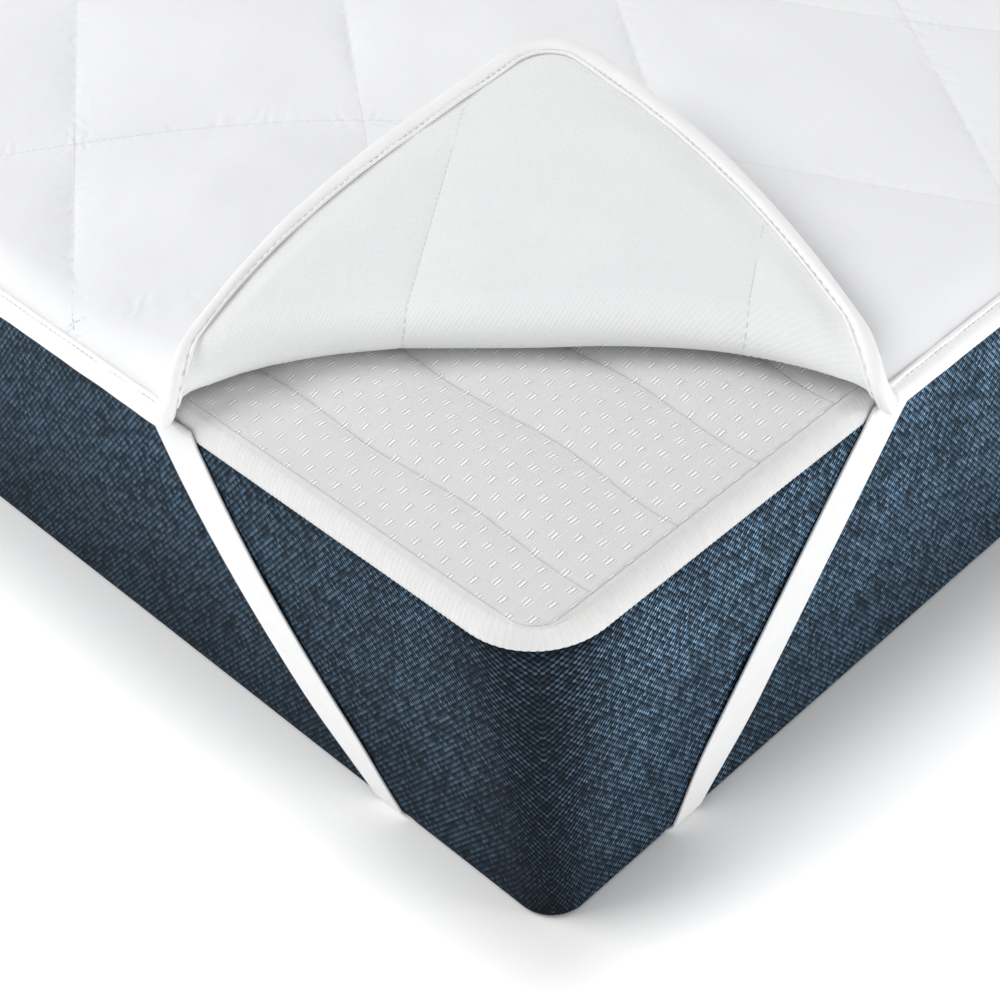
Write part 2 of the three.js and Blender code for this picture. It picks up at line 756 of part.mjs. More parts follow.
// Stations of one leg of a strap, from its sewn end down to the floor. along is measured from the corner,
// out from the mattress side.
function strapLeg(foot, slope, bow) {
  const round = MATTRESS.bottomRound;
  const arc = round * Math.PI / 2;
  const meanSlope = slope - bow * STRAP.top;
  const fullRun = STRAP.width * Math.hypot(1, meanSlope) / 2;
  const leg = [];
  const addStation = (out, z, climbed, normalOut, normalZ) => {
    const along = foot + slope * climbed - bow * climbed ** 2;
    const widened = THREE.MathUtils.smoothstep(climbed, 0, STRAP.gatherRise);
    const halfRun = fullRun * lerp(STRAP.gathered, 1, widened);
    leg.push({ out, z, outer: along + halfRun, inner: along - halfRun, normalOut, normalZ });
  };
  for (const z of [STRAP.top, MATTRESS.seam]) {
    addStation(STRAP.topStandoff, z, arc + z - round, 1, 0);
  }
  for (const z of STRAP_HEIGHTS) {
    addStation(STRAP.standoff, z, arc + z - round, 1, 0);
  }
  const roundSteps = 5;
  for (let step = 0; step <= roundSteps; step += 1) {
    const part = step / roundSteps;
    const angle = part * Math.PI / 2;
    const radius = round + lerp(STRAP.standoff, -STRAP.floorHeight, part);
    const [out, down] = [Math.cos(angle), Math.sin(angle)];
    addStation(radius * out - round, round - radius * down, arc * (1 - part), out, -down);
  }
  return leg;
}

// Sections of a strap with its half thickness and extra half width given, at the corner with the given signs.
function strapSections(signX, signY, inward, outward, spread) {
  const onEnd = (along, out, z) => new THREE.Vector3(
    signX * (MATTRESS.width / 2 - along), signY * (MATTRESS.length / 2 + out), z);
  const onSide = (along, out, z) => new THREE.Vector3(
    signX * (MATTRESS.width / 2 + out), signY * (MATTRESS.length / 2 - along), z);
  const section = (place, station) => {
    const { out, z, outer, inner, normalOut, normalZ } = station;
    const at = (along, height) => place(along, out + normalOut * height, z + normalZ * height);
    return [
      at(outer + spread, outward),
      at(inner - spread, outward),
      at(inner - spread, -inward),
      at(outer + spread, -inward),
    ];
  };
  const endLeg = strapLeg(STRAP.endFoot, STRAP.endSlope, STRAP.endBow);
  const sideLeg = strapLeg(STRAP.sideFoot, STRAP.sideSlope, STRAP.sideBow);
  return [
    ...endLeg.map((station) => section(onEnd, station)),
    ...sideLeg.reverse().map((station) => section(onSide, station)),
  ];
}

function openSweepGeometry(sections) {
  const count = sections[0].length;
  const triangles = [];
  for (let i = 0; i + 1 < sections.length; i += 1) {
    triangles.push(...ringBand(i * count, (i + 1) * count, count));
  }
  const last = (sections.length - 1) * count;
  triangles.push([0, 2, 1], [0, 3, 2], [last, last + 1, last + 2], [last, last + 2, last + 3]);
  return solidGeometry(sections.flat(), triangles);
}

function strapGeometry(signX, signY) {
  const half = STRAP.thickness / 2;
  return openSweepGeometry(strapSections(signX, signY, half, half, 0));
}

// What is cut from the mattress so that a strap lies flush under it.
function strapGrooveGeometry(signX, signY) {
  const half = STRAP.thickness / 2;
  const throughFloor = 4;
  const straightStations = STRAP_HEIGHTS.length + 1;
  const sections = strapSections(signX, signY, half + GAP, half + throughFloor, STRAP.grooveSide);
  return openSweepGeometry(sections.slice(straightStations, sections.length - straightStations));
}

// Assembly

const CORNERS = [
  { name: "front_right", signX: 1, signY: -1 },
  { name: "front_left", signX: -1, signY: -1 },
  { name: "back_right", signX: 1, signY: 1 },
  { name: "back_left", signX: -1, signY: 1 },
];

function mattressSideWithGrooves() {
  let body = toManifold(mattressSideGeometry());
  for (const { signX, signY } of CORNERS) {
    body = body.subtract(toManifold(strapGrooveGeometry(signX, signY)));
  }
  return fromManifold(body);
}

const part = new THREE.Group();

const mattress = new THREE.Group();
mattress.add(makeMesh("mattress_side", mattressSideWithGrooves(), COLORS.navy, 0.9));
mattress.add(makeMesh("mattress_tape", mattressTapeGeometry(), COLORS.tape, 0.85));
mattress.add(makeMesh("mattress_top", mattressTopGeometry(), COLORS.knit, 0.9));
part.add(mattress);

const protector = new THREE.Group();
protector.add(makeMesh("protector_panel", protectorPanelGeometry(), COLORS.cover, 0.8));
protector.add(makeMesh("protector_binding", protectorBindingGeometry(), COLORS.satin, 0.6));
for (const { name, signX, signY } of CORNERS) {
  protector.add(makeMesh(`strap_${name}`, strapGeometry(signX, signY), COLORS.elastic, 0.8));
}
part.add(protector);

export default part;
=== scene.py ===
# Looks of a quilted mattress protector on a mattress, with one corner folded back and elastic straps.
# Shapes are worked out in millimetres in the frame's own axes and made in metres.
import math

import bpy
import numpy as np
from mathutils import Matrix, Vector


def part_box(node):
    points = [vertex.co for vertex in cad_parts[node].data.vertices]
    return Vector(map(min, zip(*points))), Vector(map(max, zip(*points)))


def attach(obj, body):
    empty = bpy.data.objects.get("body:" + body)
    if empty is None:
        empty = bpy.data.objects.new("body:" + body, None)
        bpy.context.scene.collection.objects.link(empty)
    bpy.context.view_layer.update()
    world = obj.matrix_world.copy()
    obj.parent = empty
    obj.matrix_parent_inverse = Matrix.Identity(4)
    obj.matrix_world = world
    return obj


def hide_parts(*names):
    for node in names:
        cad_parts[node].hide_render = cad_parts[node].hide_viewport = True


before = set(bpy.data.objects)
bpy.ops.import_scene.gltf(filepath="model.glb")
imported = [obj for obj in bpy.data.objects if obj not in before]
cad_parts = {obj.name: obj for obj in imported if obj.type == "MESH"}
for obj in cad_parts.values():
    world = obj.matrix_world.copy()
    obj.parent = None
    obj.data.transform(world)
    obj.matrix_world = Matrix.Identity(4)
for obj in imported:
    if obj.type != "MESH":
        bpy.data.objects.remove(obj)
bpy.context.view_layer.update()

MM = 0.001
SQRT2 = math.sqrt(2)
TAU = 2 * math.pi

# Sizes of the mattress, from the frame where it has them

SIDE_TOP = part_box("mattress_side")[1][2] / MM
TAPE_LOW, TAPE_HIGH = (np.array(corner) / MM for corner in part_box("mattress_tape"))
TOP_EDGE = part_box("mattress_top")[1][0] / MM

WIDTH = TAPE_HIGH[0] - TAPE_LOW[0]
LENGTH = TAPE_HIGH[1] - TAPE_LOW[1]
SEAM = TAPE_LOW[2]  # height of the line where the edge tape meets the side cover
TAPE_RISE = TAPE_HIGH[2] - SEAM
TAPE_DEPTH = 8
TOP_INSET = WIDTH / 2 - TOP_EDGE
CORNER_TOP = 40  # plan radius of the corners at the tape
CORNER_BOTTOM = 20  # and at the floor
CORNER_INSIDE = 14.3  # and where the tape meets the top panel
BOTTOM_ROUND = 4
CROWN = 5
CROWN_REACH = 30
CHANNEL_PITCH = 53  # sewn channels of the top panel
CHANNEL_START = 42
CHANNEL_DEPTH = 3

# Sizes of the protector

OVERHANG = 14  # flat size beyond each side of the mattress
SHEET_RADIUS = 32
SHEET_HEIGHT = 195.4
SHOULDER_INSET = 16
SHOULDER_RADIUS = 24
SHOULDER_CORNER = 28  # plan radius that the sheet follows round the corners
RIM = 2.5  # half thickness under the binding and in the seams
PUFF_TOP = 8.5
PUFF_BELOW = 1.5
PUFF_FREE = 5  # below the turned corner, whose underside is free
PUFF_POWER = 0.75

# s is measured from the front right corner along its diagonal, t across it.
FOLD_MIDDLE = 196.5
FOLD_ENDS = {"front": 155, "side": 146}
FOLD_BOWS = {"front": 4.8, "side": 3}
FOLD_RADIUS = 10
FOLD_END_RADII = {"front": 10, "side": 13}
FOLD_BULGE = 0.8  # how far the roll is pressed out of round, most at FOLD_BULGE_AT
FOLD_BULGE_AT = 95
FOLD_BULGE_REACH = 110
FOLD_LIFT = math.radians(10.2)
FOLD_SLANT = 0.064
FOLD_PINCH = 0.6
ROLL_TURN = math.pi - FOLD_LIFT

COLUMN_PITCH = 152.5
COLUMN_START = -88
COLUMN_SLOPE = 0.14
COLUMN_PIVOT = 390
ROW_PITCH = 168
FOLD_ROW_PITCH = 150  # of the row that the fold takes up
CORNER_ROW_PITCH = 190  # of the row on the turned corner
ROW_START = 325
ROW_SLOPE = 0.1
ROW_WAVE = 43
ROW_WAVE_AT = -80
ROW_WAVE_LENGTH = 860

BINDING_WIDTH = 11
STITCH_PITCH = 3.6
THREAD_RADIUS = 0.32

CLOSE_REACH = 330  # how far from the folded corner the meshes are fine

STRAP_WIDTH = 27
STRAP_GATHERED = 0.55  # part of the width that is left under the mattress
STRAP_GATHER_RISE = 45
STRAP_THICKNESS = 1.5
STRAP_FEET = {"end": 103, "side": 86}
STRAP_SLOPES = {"end": 1.12, "side": 0.815}
STRAP_BOWS = {"end": 0.0021, "side": 0}
STRAP_TOP = 178.2
STRAP_TOP_STANDOFF = 1.35
STRAP_STANDOFF = 1.05
STRAP_FLOOR_HEIGHT = 0.95


# Shared helpers

def lerp(start, end, part):
    return start + (end - start) * part


def smoothstep(value, low, high):
    part = np.clip((value - low) / (high - low), 0, 1)
    return part * part * (3 - 2 * part)


def unevenness(x, y, wavelength, seed, count=14):
    """A soft random relief with a spread of about 1, from seeded waves."""
    rng = np.random.default_rng(seed)
    total = np.zeros(np.broadcast(x, y).shape)
    for _ in range(count):
        angle, phase = rng.uniform(0, TAU, 2)
        stretch = rng.uniform(0.6, 1.7)
        distance = x * math.cos(angle) + y * math.sin(angle)
        total += np.sin(TAU * distance * stretch / wavelength + phase)
    return total / math.sqrt(count / 2)


def unit(vectors):
    return vectors / np.linalg.norm(vectors, axis=-1, keepdims=True)


def make_piece(name, points, faces, materials, uv=None, face_materials=None):
    """A smooth mesh in the frame, from points in millimetres. uv maps a name to two numbers a point."""
    mesh = bpy.data.meshes.new(name)
    mesh.from_pydata((np.asarray(points) * MM).tolist(), [], [tuple(face) for face in faces])
    mesh.validate()
    corners = np.empty(len(mesh.loops), dtype=np.int32)
    mesh.loops.foreach_get("vertex_index", corners)
    for layer_name, values in (uv or {}).items():
        layer = mesh.uv_layers.new(name=layer_name)
        layer.data.foreach_set("uv", np.asarray(values, dtype=np.float32)[corners].ravel())
    for material in materials:
        mesh.materials.append(material)
    mesh.polygons.foreach_set("use_smooth", np.ones(len(mesh.polygons), dtype=bool))
    if face_materials is not None:
        mesh.polygons.foreach_set("material_index", np.asarray(face_materials, dtype=np.int32))
    piece = bpy.data.objects.new(name, mesh)
    bpy.context.scene.collection.objects.link(piece)
    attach(piece, "root")
    return piece


def loop_faces(rows, count, close_rows=False):
    """Four-sided faces between neighbouring closed loops of count points."""
    faces = []
    for row in range(rows if close_rows else rows - 1):
        first = row * count
        second = (row + 1) % rows * count
        for i in range(count):
            j = (i + 1) % count
            faces.append((first + i, first + j, second + j, second + i))
    return faces


# Shader graphs

class Field:
    """A number or colour that varies over a surface, with arithmetic."""

    def __init__(self, graph, socket):
        self.graph = graph
        self.socket = socket

    def __add__(self, other):
        return self.graph.math("ADD", self, other)

    def __sub__(self, other):
        return self.graph.math("SUBTRACT", self, other)

    def __rsub__(self, other):
        return self.graph.math("SUBTRACT", other, self)

    def __mul__(self, other):
        return self.graph.math("MULTIPLY", self, other)

    __radd__ = __add__
    __rmul__ = __mul__

    def __truediv__(self, other):
        return self.graph.math("DIVIDE", self, other)

    def __pow__(self, other):
        return self.graph.math("POWER", self, other)


class Graph:
    """A node material whose fields are written as formulas."""

    def __init__(self, name, roughness, **constants):
        self.material = bpy.data.materials.new(name)
        self.material.use_nodes = True
        self.nodes = self.material.node_tree.nodes
        self.links = self.material.node_tree.links
        self.shader = self.nodes["Principled BSDF"]
        self.shader.inputs["Roughness"].default_value = roughness
        for socket, value in constants.items():
            self.shader.inputs[socket.replace("_", " ")].default_value = value

    def set(self, socket, value):
        if isinstance(value, Field):
            self.links.new(value.socket, socket)
        else:
            socket.default_value = value

    def math(self, operation, *values, clamp=False):
        node = self.nodes.new("ShaderNodeMath")
        node.operation = operation
        node.use_clamp = clamp
        for socket, value in zip(node.inputs, values):
            self.set(socket, value)
        return Field(self, node.outputs[0])

    def sine(self, value):
        return self.math("SINE", value)

    def absolute(self, value):
        return self.math("ABSOLUTE", value)

    def fraction(self, value):
        return self.math("FRACT", value)

    def ramp(self, value, low, high):
        """From 0 at low to 1 at high, with soft ends."""
        node = self.nodes.new("ShaderNodeMapRange")
        node.interpolation_type = "SMOOTHSTEP"
        for name, setting in (("Value", value), ("From Min", low), ("From Max", high)):
            self.set(node.inputs[name], setting)
        return Field(self, node.outputs["Result"])

    def uv(self, name):
        """Both coordinates of a map, in its own units."""
        node = self.nodes.new("ShaderNodeUVMap")
        node.uv_map = name
        split = self.nodes.new("ShaderNodeSeparateXYZ")
        self.links.new(node.outputs["UV"], split.inputs[0])
        return Field(self, split.outputs["X"]), Field(self, split.outputs["Y"])

    def combine(self, x, y, z=0.0):
        node = self.nodes.new("ShaderNodeCombineXYZ")
        for socket, value in zip(node.inputs, (x, y, z)):
            self.set(socket, value)
        return Field(self, node.outputs[0])

    def place(self):
        """The place on the object, in metres."""
        node = self.nodes.new("ShaderNodeTexCoord")
        return Field(self, node.outputs["Object"])

    def noise(self, vector, scale, detail=2.0):
        node = self.nodes.new("ShaderNodeTexNoise")
        self.set(node.inputs["Vector"], vector)
        node.inputs["Scale"].default_value = scale
        node.inputs["Detail"].default_value = detail
        return Field(self, node.outputs["Fac"])

    def random(self, vector):
        """One random number for each whole-number cell."""
        node = self.nodes.new("ShaderNodeTexWhiteNoise")
        self.set(node.inputs["Vector"], vector)
        return Field(self, node.outputs["Value"])

    def mix(self, part, first, second):
        node = self.nodes.new("ShaderNodeMix")
        node.data_type = "RGBA"
        self.set(node.inputs["Factor"], part)
        for name, color in (("A", first), ("B", second)):
            socket = next(s for s in node.inputs if s.name == name and s.type == "RGBA")
            self.set(socket, color if isinstance(color, Field) else (*color, 1))
        return Field(self, next(s for s in node.outputs if s.type == "RGBA"))

    def finish(self, color, height=None, distance=MM):
        """Connects the colour and the relief, whose height is in units of distance."""
        self.set(self.shader.inputs["Base Color"], color)
        if height is not None:
            bump = self.nodes.new("ShaderNodeBump")
            bump.inputs["Distance"].default_value = distance
            self.set(bump.inputs["Height"], height)
            self.links.new(bump.outputs["Normal"], self.shader.inputs["Normal"])
        return self.material


# Materials

def cover_material():
    """Brushed white cover cloth, puckered along its seams."""
    graph = Graph("quilted_cover", 0.75, Sheen_Weight=0.25, Sheen_Roughness=0.5)
    a, b = graph.uv("Cloth")
    column, row = graph.uv("Quilt")
    cloth = graph.combine(a, b)
    drift = graph.noise(cloth, 0.03) * 5
    from_column = graph.absolute(graph.sine(column * math.pi)) * (COLUMN_PITCH / math.pi)
    from_row = graph.absolute(graph.sine(row * math.pi)) * (ROW_PITCH / math.pi)
    pucker_pitch = 13
    along_column = graph.sine((row * (ROW_PITCH / pucker_pitch) + drift) * TAU)
    along_row = graph.sine((column * (COLUMN_PITCH / pucker_pitch) + drift) * TAU)
    pucker_reach = 16
    puckers = along_column * (1 - graph.ramp(from_column, 1, pucker_reach))
    puckers += along_row * (1 - graph.ramp(from_row, 1, pucker_reach))
    thread_pitch = 0.55
    weave = graph.sine(a * (TAU / thread_pitch)) * graph.sine(b * (TAU / thread_pitch))
    creases = graph.noise(cloth, 0.05, 4.0)
    height = puckers * 0.14 + weave * 0.02 + creases * 0.9
    tone = graph.noise(cloth, 0.012, 3.0)
    color = graph.mix(tone, (0.83, 0.835, 0.85), (0.88, 0.885, 0.895))
    return graph.finish(color, height)


def underside_material():
    """The knitted back of the protector, with fine ribs."""
    graph = Graph("protector_underside", 0.8, Sheen_Weight=0.2, Sheen_Roughness=0.5)
    a, b = graph.uv("Cloth")
    cloth = graph.combine(a, b)
    bend = graph.noise(cloth, 0.02) * 2
    rib_pitch = 1.6
    loop_pitch = 1.3
    ribs = graph.sine((a / rib_pitch + bend) * TAU)
    loops = graph.sine((b / loop_pitch + bend) * TAU)
    creases = graph.noise(cloth, 0.04, 4.0)
    height = ribs * 0.06 + ribs * loops * 0.05 + creases * 1.2
    tone = graph.noise(cloth, 0.02, 3.0) * 0.7 + ribs * 0.12 + loops * 0.08
    color = graph.mix(tone, (0.80, 0.805, 0.815), (0.87, 0.875, 0.88))
    return graph.finish(color, height)


def binding_material():
    """Satin binding tape with a fine cross rib."""
    graph = Graph("binding_satin", 0.5, Sheen_Weight=0.15, Sheen_Roughness=0.4)
    along, across = graph.uv("Strip")
    place = graph.combine(along, across)
    ribs = graph.sine(along * (TAU / 0.9))
    pulls = graph.noise(graph.combine(along, across * 0.3), 0.16, 3.0)
    height = ribs * 0.015 + pulls * 0.5
    tone = graph.noise(place, 0.05, 2.0)
    color = graph.mix(tone, (0.85, 0.855, 0.865), (0.90, 0.90, 0.905))
    return graph.finish(color, height)


def elastic_material():
    """White woven elastic: cross ribs over faint lengthwise rubber threads."""
    graph = Graph("elastic", 0.7, Sheen_Weight=0.1)
    along, across = graph.uv("Strip")
    ribs = graph.sine(along * (TAU / 1.1))
    threads = graph.sine(across * (TAU / 1.7))
    height = ribs * 0.06 + threads * 0.03
    tone = ribs * 0.25 + graph.noise(graph.combine(along, across), 0.08) * 0.8
    color = graph.mix(tone, (0.83, 0.83, 0.835), (0.90, 0.90, 0.90))
    return graph.finish(color, height)


def side_material():
    """Navy melange weave: diagonal rows of steel-blue knots that mirror at the front right corner, with
    painted shade towards the corner and the foot and painted light on the long sides.
    """
    graph = Graph("mattress_side_cover", 0.85, Specular_IOR_Level=0.1)
    around, up = graph.uv("Side")
    place = graph.place()
    wobble = graph.noise(place, 60.0, 2.0) * 0.3
    rib_run = 3.26
    rib_rise = 3.61
    knot_run = 2.84
    knot_rise = 3.48
    rib_phase = around / rib_run + up / rib_rise + wobble
    knot_phase = around / knot_run - up / knot_rise + wobble
    fibres = graph.noise(graph.combine(around * 1.6, up * 0.7), 1.1, 2.0) - 0.5
    weave = graph.sine(knot_phase * TAU) + graph.sine(rib_phase * TAU) * 0.75 + fibres * 1.6
    raised = graph.ramp(weave, -0.5, 0.9)
    knot = graph.combine(graph.math("FLOOR", rib_phase), graph.math("FLOOR", knot_phase))
    melange = graph.random(knot) ** 1.5
    patches = graph.ramp(graph.noise(place, 26.0, 4.0), 0.25, 0.75)
    # Painted shade and light: the knots are coloured darker towards the front right corner and towards the
    # foot, and lighter on the long sides (Facing), as light falls there; patches is the cloth's own random
    # tone.
    corner_shade_reach = 60.0
    foot_shade_rise = 150.0
    bend = graph.ramp(around, 0.0, corner_shade_reach) * 0.7 + 0.3
    rise = graph.ramp(up, 0.0, foot_shade_rise) * 0.5 + 0.5
    long_side, _ = graph.uv("Facing")
    painted_light_and_patches = bend * rise * (long_side * 0.48 + 0.52) * (patches * 0.26 + 0.54)
    gap_color = (0.004, 0.006, 0.009)
    fleck_color = (0.36, 0.64, 0.95)
    color = graph.mix(raised * (melange * 0.85 + 0.15) * painted_light_and_patches, gap_color, fleck_color)
    return graph.finish(color, raised * 0.35)


def top_material():
    """Light grey knit with rows of small raised bars, with painted shade in the sunk parts of the bars and in
    the channel seams.
    """
    graph = Graph("mattress_top_cover", 0.8, Sheen_Weight=0.1)
    across, along = graph.uv("Top")
    channel, _ = graph.uv("Channel")
    from_seam = graph.absolute(graph.fraction(channel + 0.5) - 0.5) * CHANNEL_PITCH
    crease = 1 - graph.ramp(from_seam, 0.1, 0.8)
    rib_pitch = 1.15
    column_pitch = 8.6
    dot_pitch = 11.4
    column = across / column_pitch
    index = graph.math("FLOOR", column)
    stagger = graph.math("MODULO", graph.absolute(index), 2.0) * 0.5
    beside = (graph.fraction(column) - 0.5) * column_pitch
    drift = (graph.noise(graph.combine(across, along), 0.05) - 0.5) * 0.25
    ahead = (graph.fraction(along / dot_pitch + stagger + drift) - 0.5) * dot_pitch
    dot = 1 - graph.ramp(graph.absolute(beside), 1.8, 2.3)
    dot = dot * (1 - graph.ramp(graph.absolute(ahead), 1.8, 2.4))
    row = graph.math("FLOOR", along / dot_pitch + stagger + drift)
    strength = graph.ramp(graph.random(graph.combine(index, row)), -0.8, 0.5)
    bars = graph.ramp(graph.sine(beside * (TAU / 2.0) + 1.4), -0.7, 0.0)
    raised = dot * bars * strength
    sunk = dot * (1 - bars)
    ribs = graph.sine(across * (TAU / rib_pitch))
    loops = graph.sine(along * (TAU / 0.9))
    tone = graph.noise(graph.combine(across, along * 0.2), 0.4, 3.0)
    height = ribs * 0.05 + loops * 0.02 + raised * 0.3 - sunk * 0.1 - crease * 0.35
    ground = graph.mix(tone * 0.6 + ribs * 0.2 + 0.2, (0.66, 0.66, 0.66), (0.76, 0.76, 0.76))
    # Painted shade: the sunk parts of the bars and the channel seams are coloured darker, as shade falls in
    # them.
    shaded = graph.mix(sunk * 0.3 + crease * 0.12, ground, (0.40, 0.40, 0.41))
    color = graph.mix(raised, shaded, (0.98, 0.98, 0.98))
    return graph.finish(color, height)


def tape_material():
    """White ribbed edge tape."""
    graph = Graph("mattress_edge_tape", 0.7, Sheen_Weight=0.15)
    along, across = graph.uv("Strip")
    threads = graph.sine(along * (TAU / 0.65))
    tone = graph.noise(graph.combine(along, across * 0.3), 0.25, 3.0)
    color = graph.mix(tone, (0.68, 0.68, 0.675), (0.78, 0.78, 0.775))
    return graph.finish(color, threads * 0.05 + tone * 0.3)


def thread_material(name):
    """Sewing thread, with the twist of its strands."""
    graph = Graph(name, 0.6, Sheen_Weight=0.2)
    along, across = graph.uv("Strip")
    twist = graph.sine((along * 2.4 + across * 2) * TAU)
    color = graph.mix(twist * 0.5 + 0.5, (0.74, 0.745, 0.755), (0.90, 0.90, 0.90))
    return graph.finish(color, twist * 0.05)


def floor_material():
    """A white floor that glows, except close to the mattress, where the missing glow paints a contact shadow.
    """
    graph = Graph("floor", 0.9)
    place = graph.place()
    tone = graph.noise(place, 3.0)
    color = graph.mix(tone, (0.92, 0.92, 0.92), (0.94, 0.94, 0.94))
    split = graph.nodes.new("ShaderNodeSeparateXYZ")
    graph.set(split.inputs[0], place)
    # Painted shadow: the floor's glow fades out within 85 mm of the mattress footprint.
    outside = [graph.math("MAXIMUM", graph.absolute(Field(graph, split.outputs[axis])) - half * MM, 0.0)
               for axis, half in (("X", WIDTH / 2), ("Y", LENGTH / 2))]
    away = (outside[0] * outside[0] + outside[1] * outside[1]) ** 0.5
    graph.shader.inputs["Emission Color"].default_value = (1, 1, 1, 1)
    graph.set(graph.shader.inputs["Emission Strength"], graph.ramp(away, 0.0, 0.085) * 0.5)
    return graph.finish(color)


# Protector sheet: flat coordinates, drape and fold

# The flat sheet is measured from the front right corner of the mattress: a along its length, b across it.
SHEET_LOW = -OVERHANG
SHEET_HIGH_A = LENGTH + OVERHANG
SHEET_HIGH_B = WIDTH + OVERHANG
FOLD_REACH = {end: place - SHEET_LOW * SQRT2 for end, place in FOLD_ENDS.items()}


def diagonal_of(a, b):
    return (a + b) / SQRT2, (a - b) / SQRT2


def flat_of(s, t):
    return (s + t) / SQRT2, (s - t) / SQRT2


def drape(a, b):
    """The unfolded sheet over the edge of the mattress: its new a and b, and its height."""
    past_a = np.minimum(a - SHOULDER_CORNER, 0) + np.maximum(a - (LENGTH - SHOULDER_CORNER), 0)
    past_b = np.minimum(b - SHOULDER_CORNER, 0) + np.maximum(b - (WIDTH - SHOULDER_CORNER), 0)
    reach = np.hypot(past_a, past_b)
    distance = np.maximum(reach - (SHOULDER_CORNER - SHOULDER_INSET), 0)
    angle = distance / SHOULDER_RADIUS
    move = (SHOULDER_RADIUS * np.sin(angle) - distance) / np.maximum(reach, 1e-9)
    drop = SHOULDER_RADIUS * (1 - np.cos(angle))
    return a + past_a * move, b + past_b * move, SHEET_HEIGHT - drop


def crease_at(t):
    """Crease position and roll radius at t."""
    at_front = np.asarray(t) < 0

    def by_end(values):
        return np.where(at_front, values["front"], values["side"])

    bend = np.minimum(np.abs(t) / by_end(FOLD_REACH), 1) ** by_end(FOLD_BOWS)
    return lerp(FOLD_MIDDLE, by_end(FOLD_ENDS), bend), lerp(FOLD_RADIUS, by_end(FOLD_END_RADII), bend)


def roll_end(t):
    crease, radius = crease_at(t)
    return crease - radius * ROLL_TURN


def place_sheet(a, b):
    """Middle surface of the sheet at flat a, b, and how far round the roll each point is."""
    s, t = diagonal_of(a, b)
    crease, radius = crease_at(t)
    past = np.maximum(crease - s, 0)
    base_a, base_b, base_z = drape(*flat_of(np.maximum(s, crease), t))
    turn = np.minimum(past / radius, ROLL_TURN)
    beyond = past - turn * radius
    bulge = 1 + FOLD_BULGE * np.exp(-(((t - FOLD_BULGE_AT) / FOLD_BULGE_REACH) ** 2))
    along = -radius * bulge * np.sin(turn) + beyond * math.cos(FOLD_LIFT)
    up = radius * (1 - np.cos(turn)) + beyond * math.sin(FOLD_LIFT)
    shift_a, shift_b = flat_of(along, FOLD_SLANT * past)
    x = WIDTH / 2 - (base_b + shift_b)
    y = base_a + shift_a - LENGTH / 2
    return np.stack([x, y, base_z + up], axis=-1), turn


def sheet_normal(a, b):
    step = 1.5
    along_a = place_sheet(a + step, b)[0] - place_sheet(a - step, b)[0]
    along_b = place_sheet(a, b + step)[0] - place_sheet(a, b - step)[0]
    return unit(np.cross(along_a, along_b))


def quilt_row_offset(t):
    return ROW_WAVE * np.cos(TAU * (t - ROW_WAVE_AT) / ROW_WAVE_LENGTH) - ROW_SLOPE * t


def quilt_coordinates(a, b):
    """Whole numbers on the seams: columns run nearly along s, rows nearly along t."""
    s, t = diagonal_of(a, b)
    column = (t + COLUMN_SLOPE * (s - COLUMN_PIVOT) - COLUMN_START) / COLUMN_PITCH
    from_seam = s - quilt_row_offset(t) - ROW_START
    past_fold = np.minimum(from_seam + FOLD_ROW_PITCH, 0)
    near = (np.minimum(from_seam, 0) - past_fold) / FOLD_ROW_PITCH + past_fold / CORNER_ROW_PITCH
    return column, near + np.maximum(from_seam, 0) / ROW_PITCH


def edge_inset(a, b):
    """How far a flat point lies inside the rounded outline of the sheet."""
    middle_a = (SHEET_LOW + SHEET_HIGH_A) / 2
    middle_b = (SHEET_LOW + SHEET_HIGH_B) / 2
    past_a = np.abs(a - middle_a) - (SHEET_HIGH_A - middle_a - SHEET_RADIUS)
    past_b = np.abs(b - middle_b) - (SHEET_HIGH_B - middle_b - SHEET_RADIUS)
    outside = np.hypot(np.maximum(past_a, 0), np.maximum(past_b, 0))
    inside = np.minimum(np.maximum(past_a, past_b), 0)
    return SHEET_RADIUS - outside - inside


def sheet_heights(a, b, turn):
    """Distance of the upper and lower face from the middle surface."""
    column, row = quilt_coordinates(a, b)
    puff = np.abs(np.sin(math.pi * column) * np.sin(math.pi * row)) ** PUFF_POWER
    edge = smoothstep(edge_inset(a, b), BINDING_WIDTH + 1, SHEET_RADIUS)
    padding = puff * edge
    squeezed = 1 - FOLD_PINCH * np.sin(turn)
    soft = 1 + 0.10 * unevenness(a, b, 90, seed=3) + 0.05 * unevenness(a, b, 40, seed=4)
    above = RIM + PUFF_TOP * padding * squeezed * soft
    below = RIM + lerp(PUFF_BELOW, PUFF_FREE, turn / ROLL_TURN) * padding * soft
    return above, below


# Mesh of the flat sheet: rows along the crease and the seams inside, bands round the edge

FIELD_LOW = SHEET_LOW + SHEET_RADIUS
FIELD_HIGH_A = SHEET_HIGH_A - SHEET_RADIUS
FIELD_HIGH_B = SHEET_HIGH_B - SHEET_RADIUS
BAND_INSETS = [28, 24, 20, 16, 13, 10, 5, 0]
CELL_STEPS = 20


def seam_graded(steps, strength=0.85):
    """Parts of one diamond, closer together beside its seams."""
    parts = np.arange(steps) / steps
    return parts - strength * np.sin(TAU * parts) / TAU


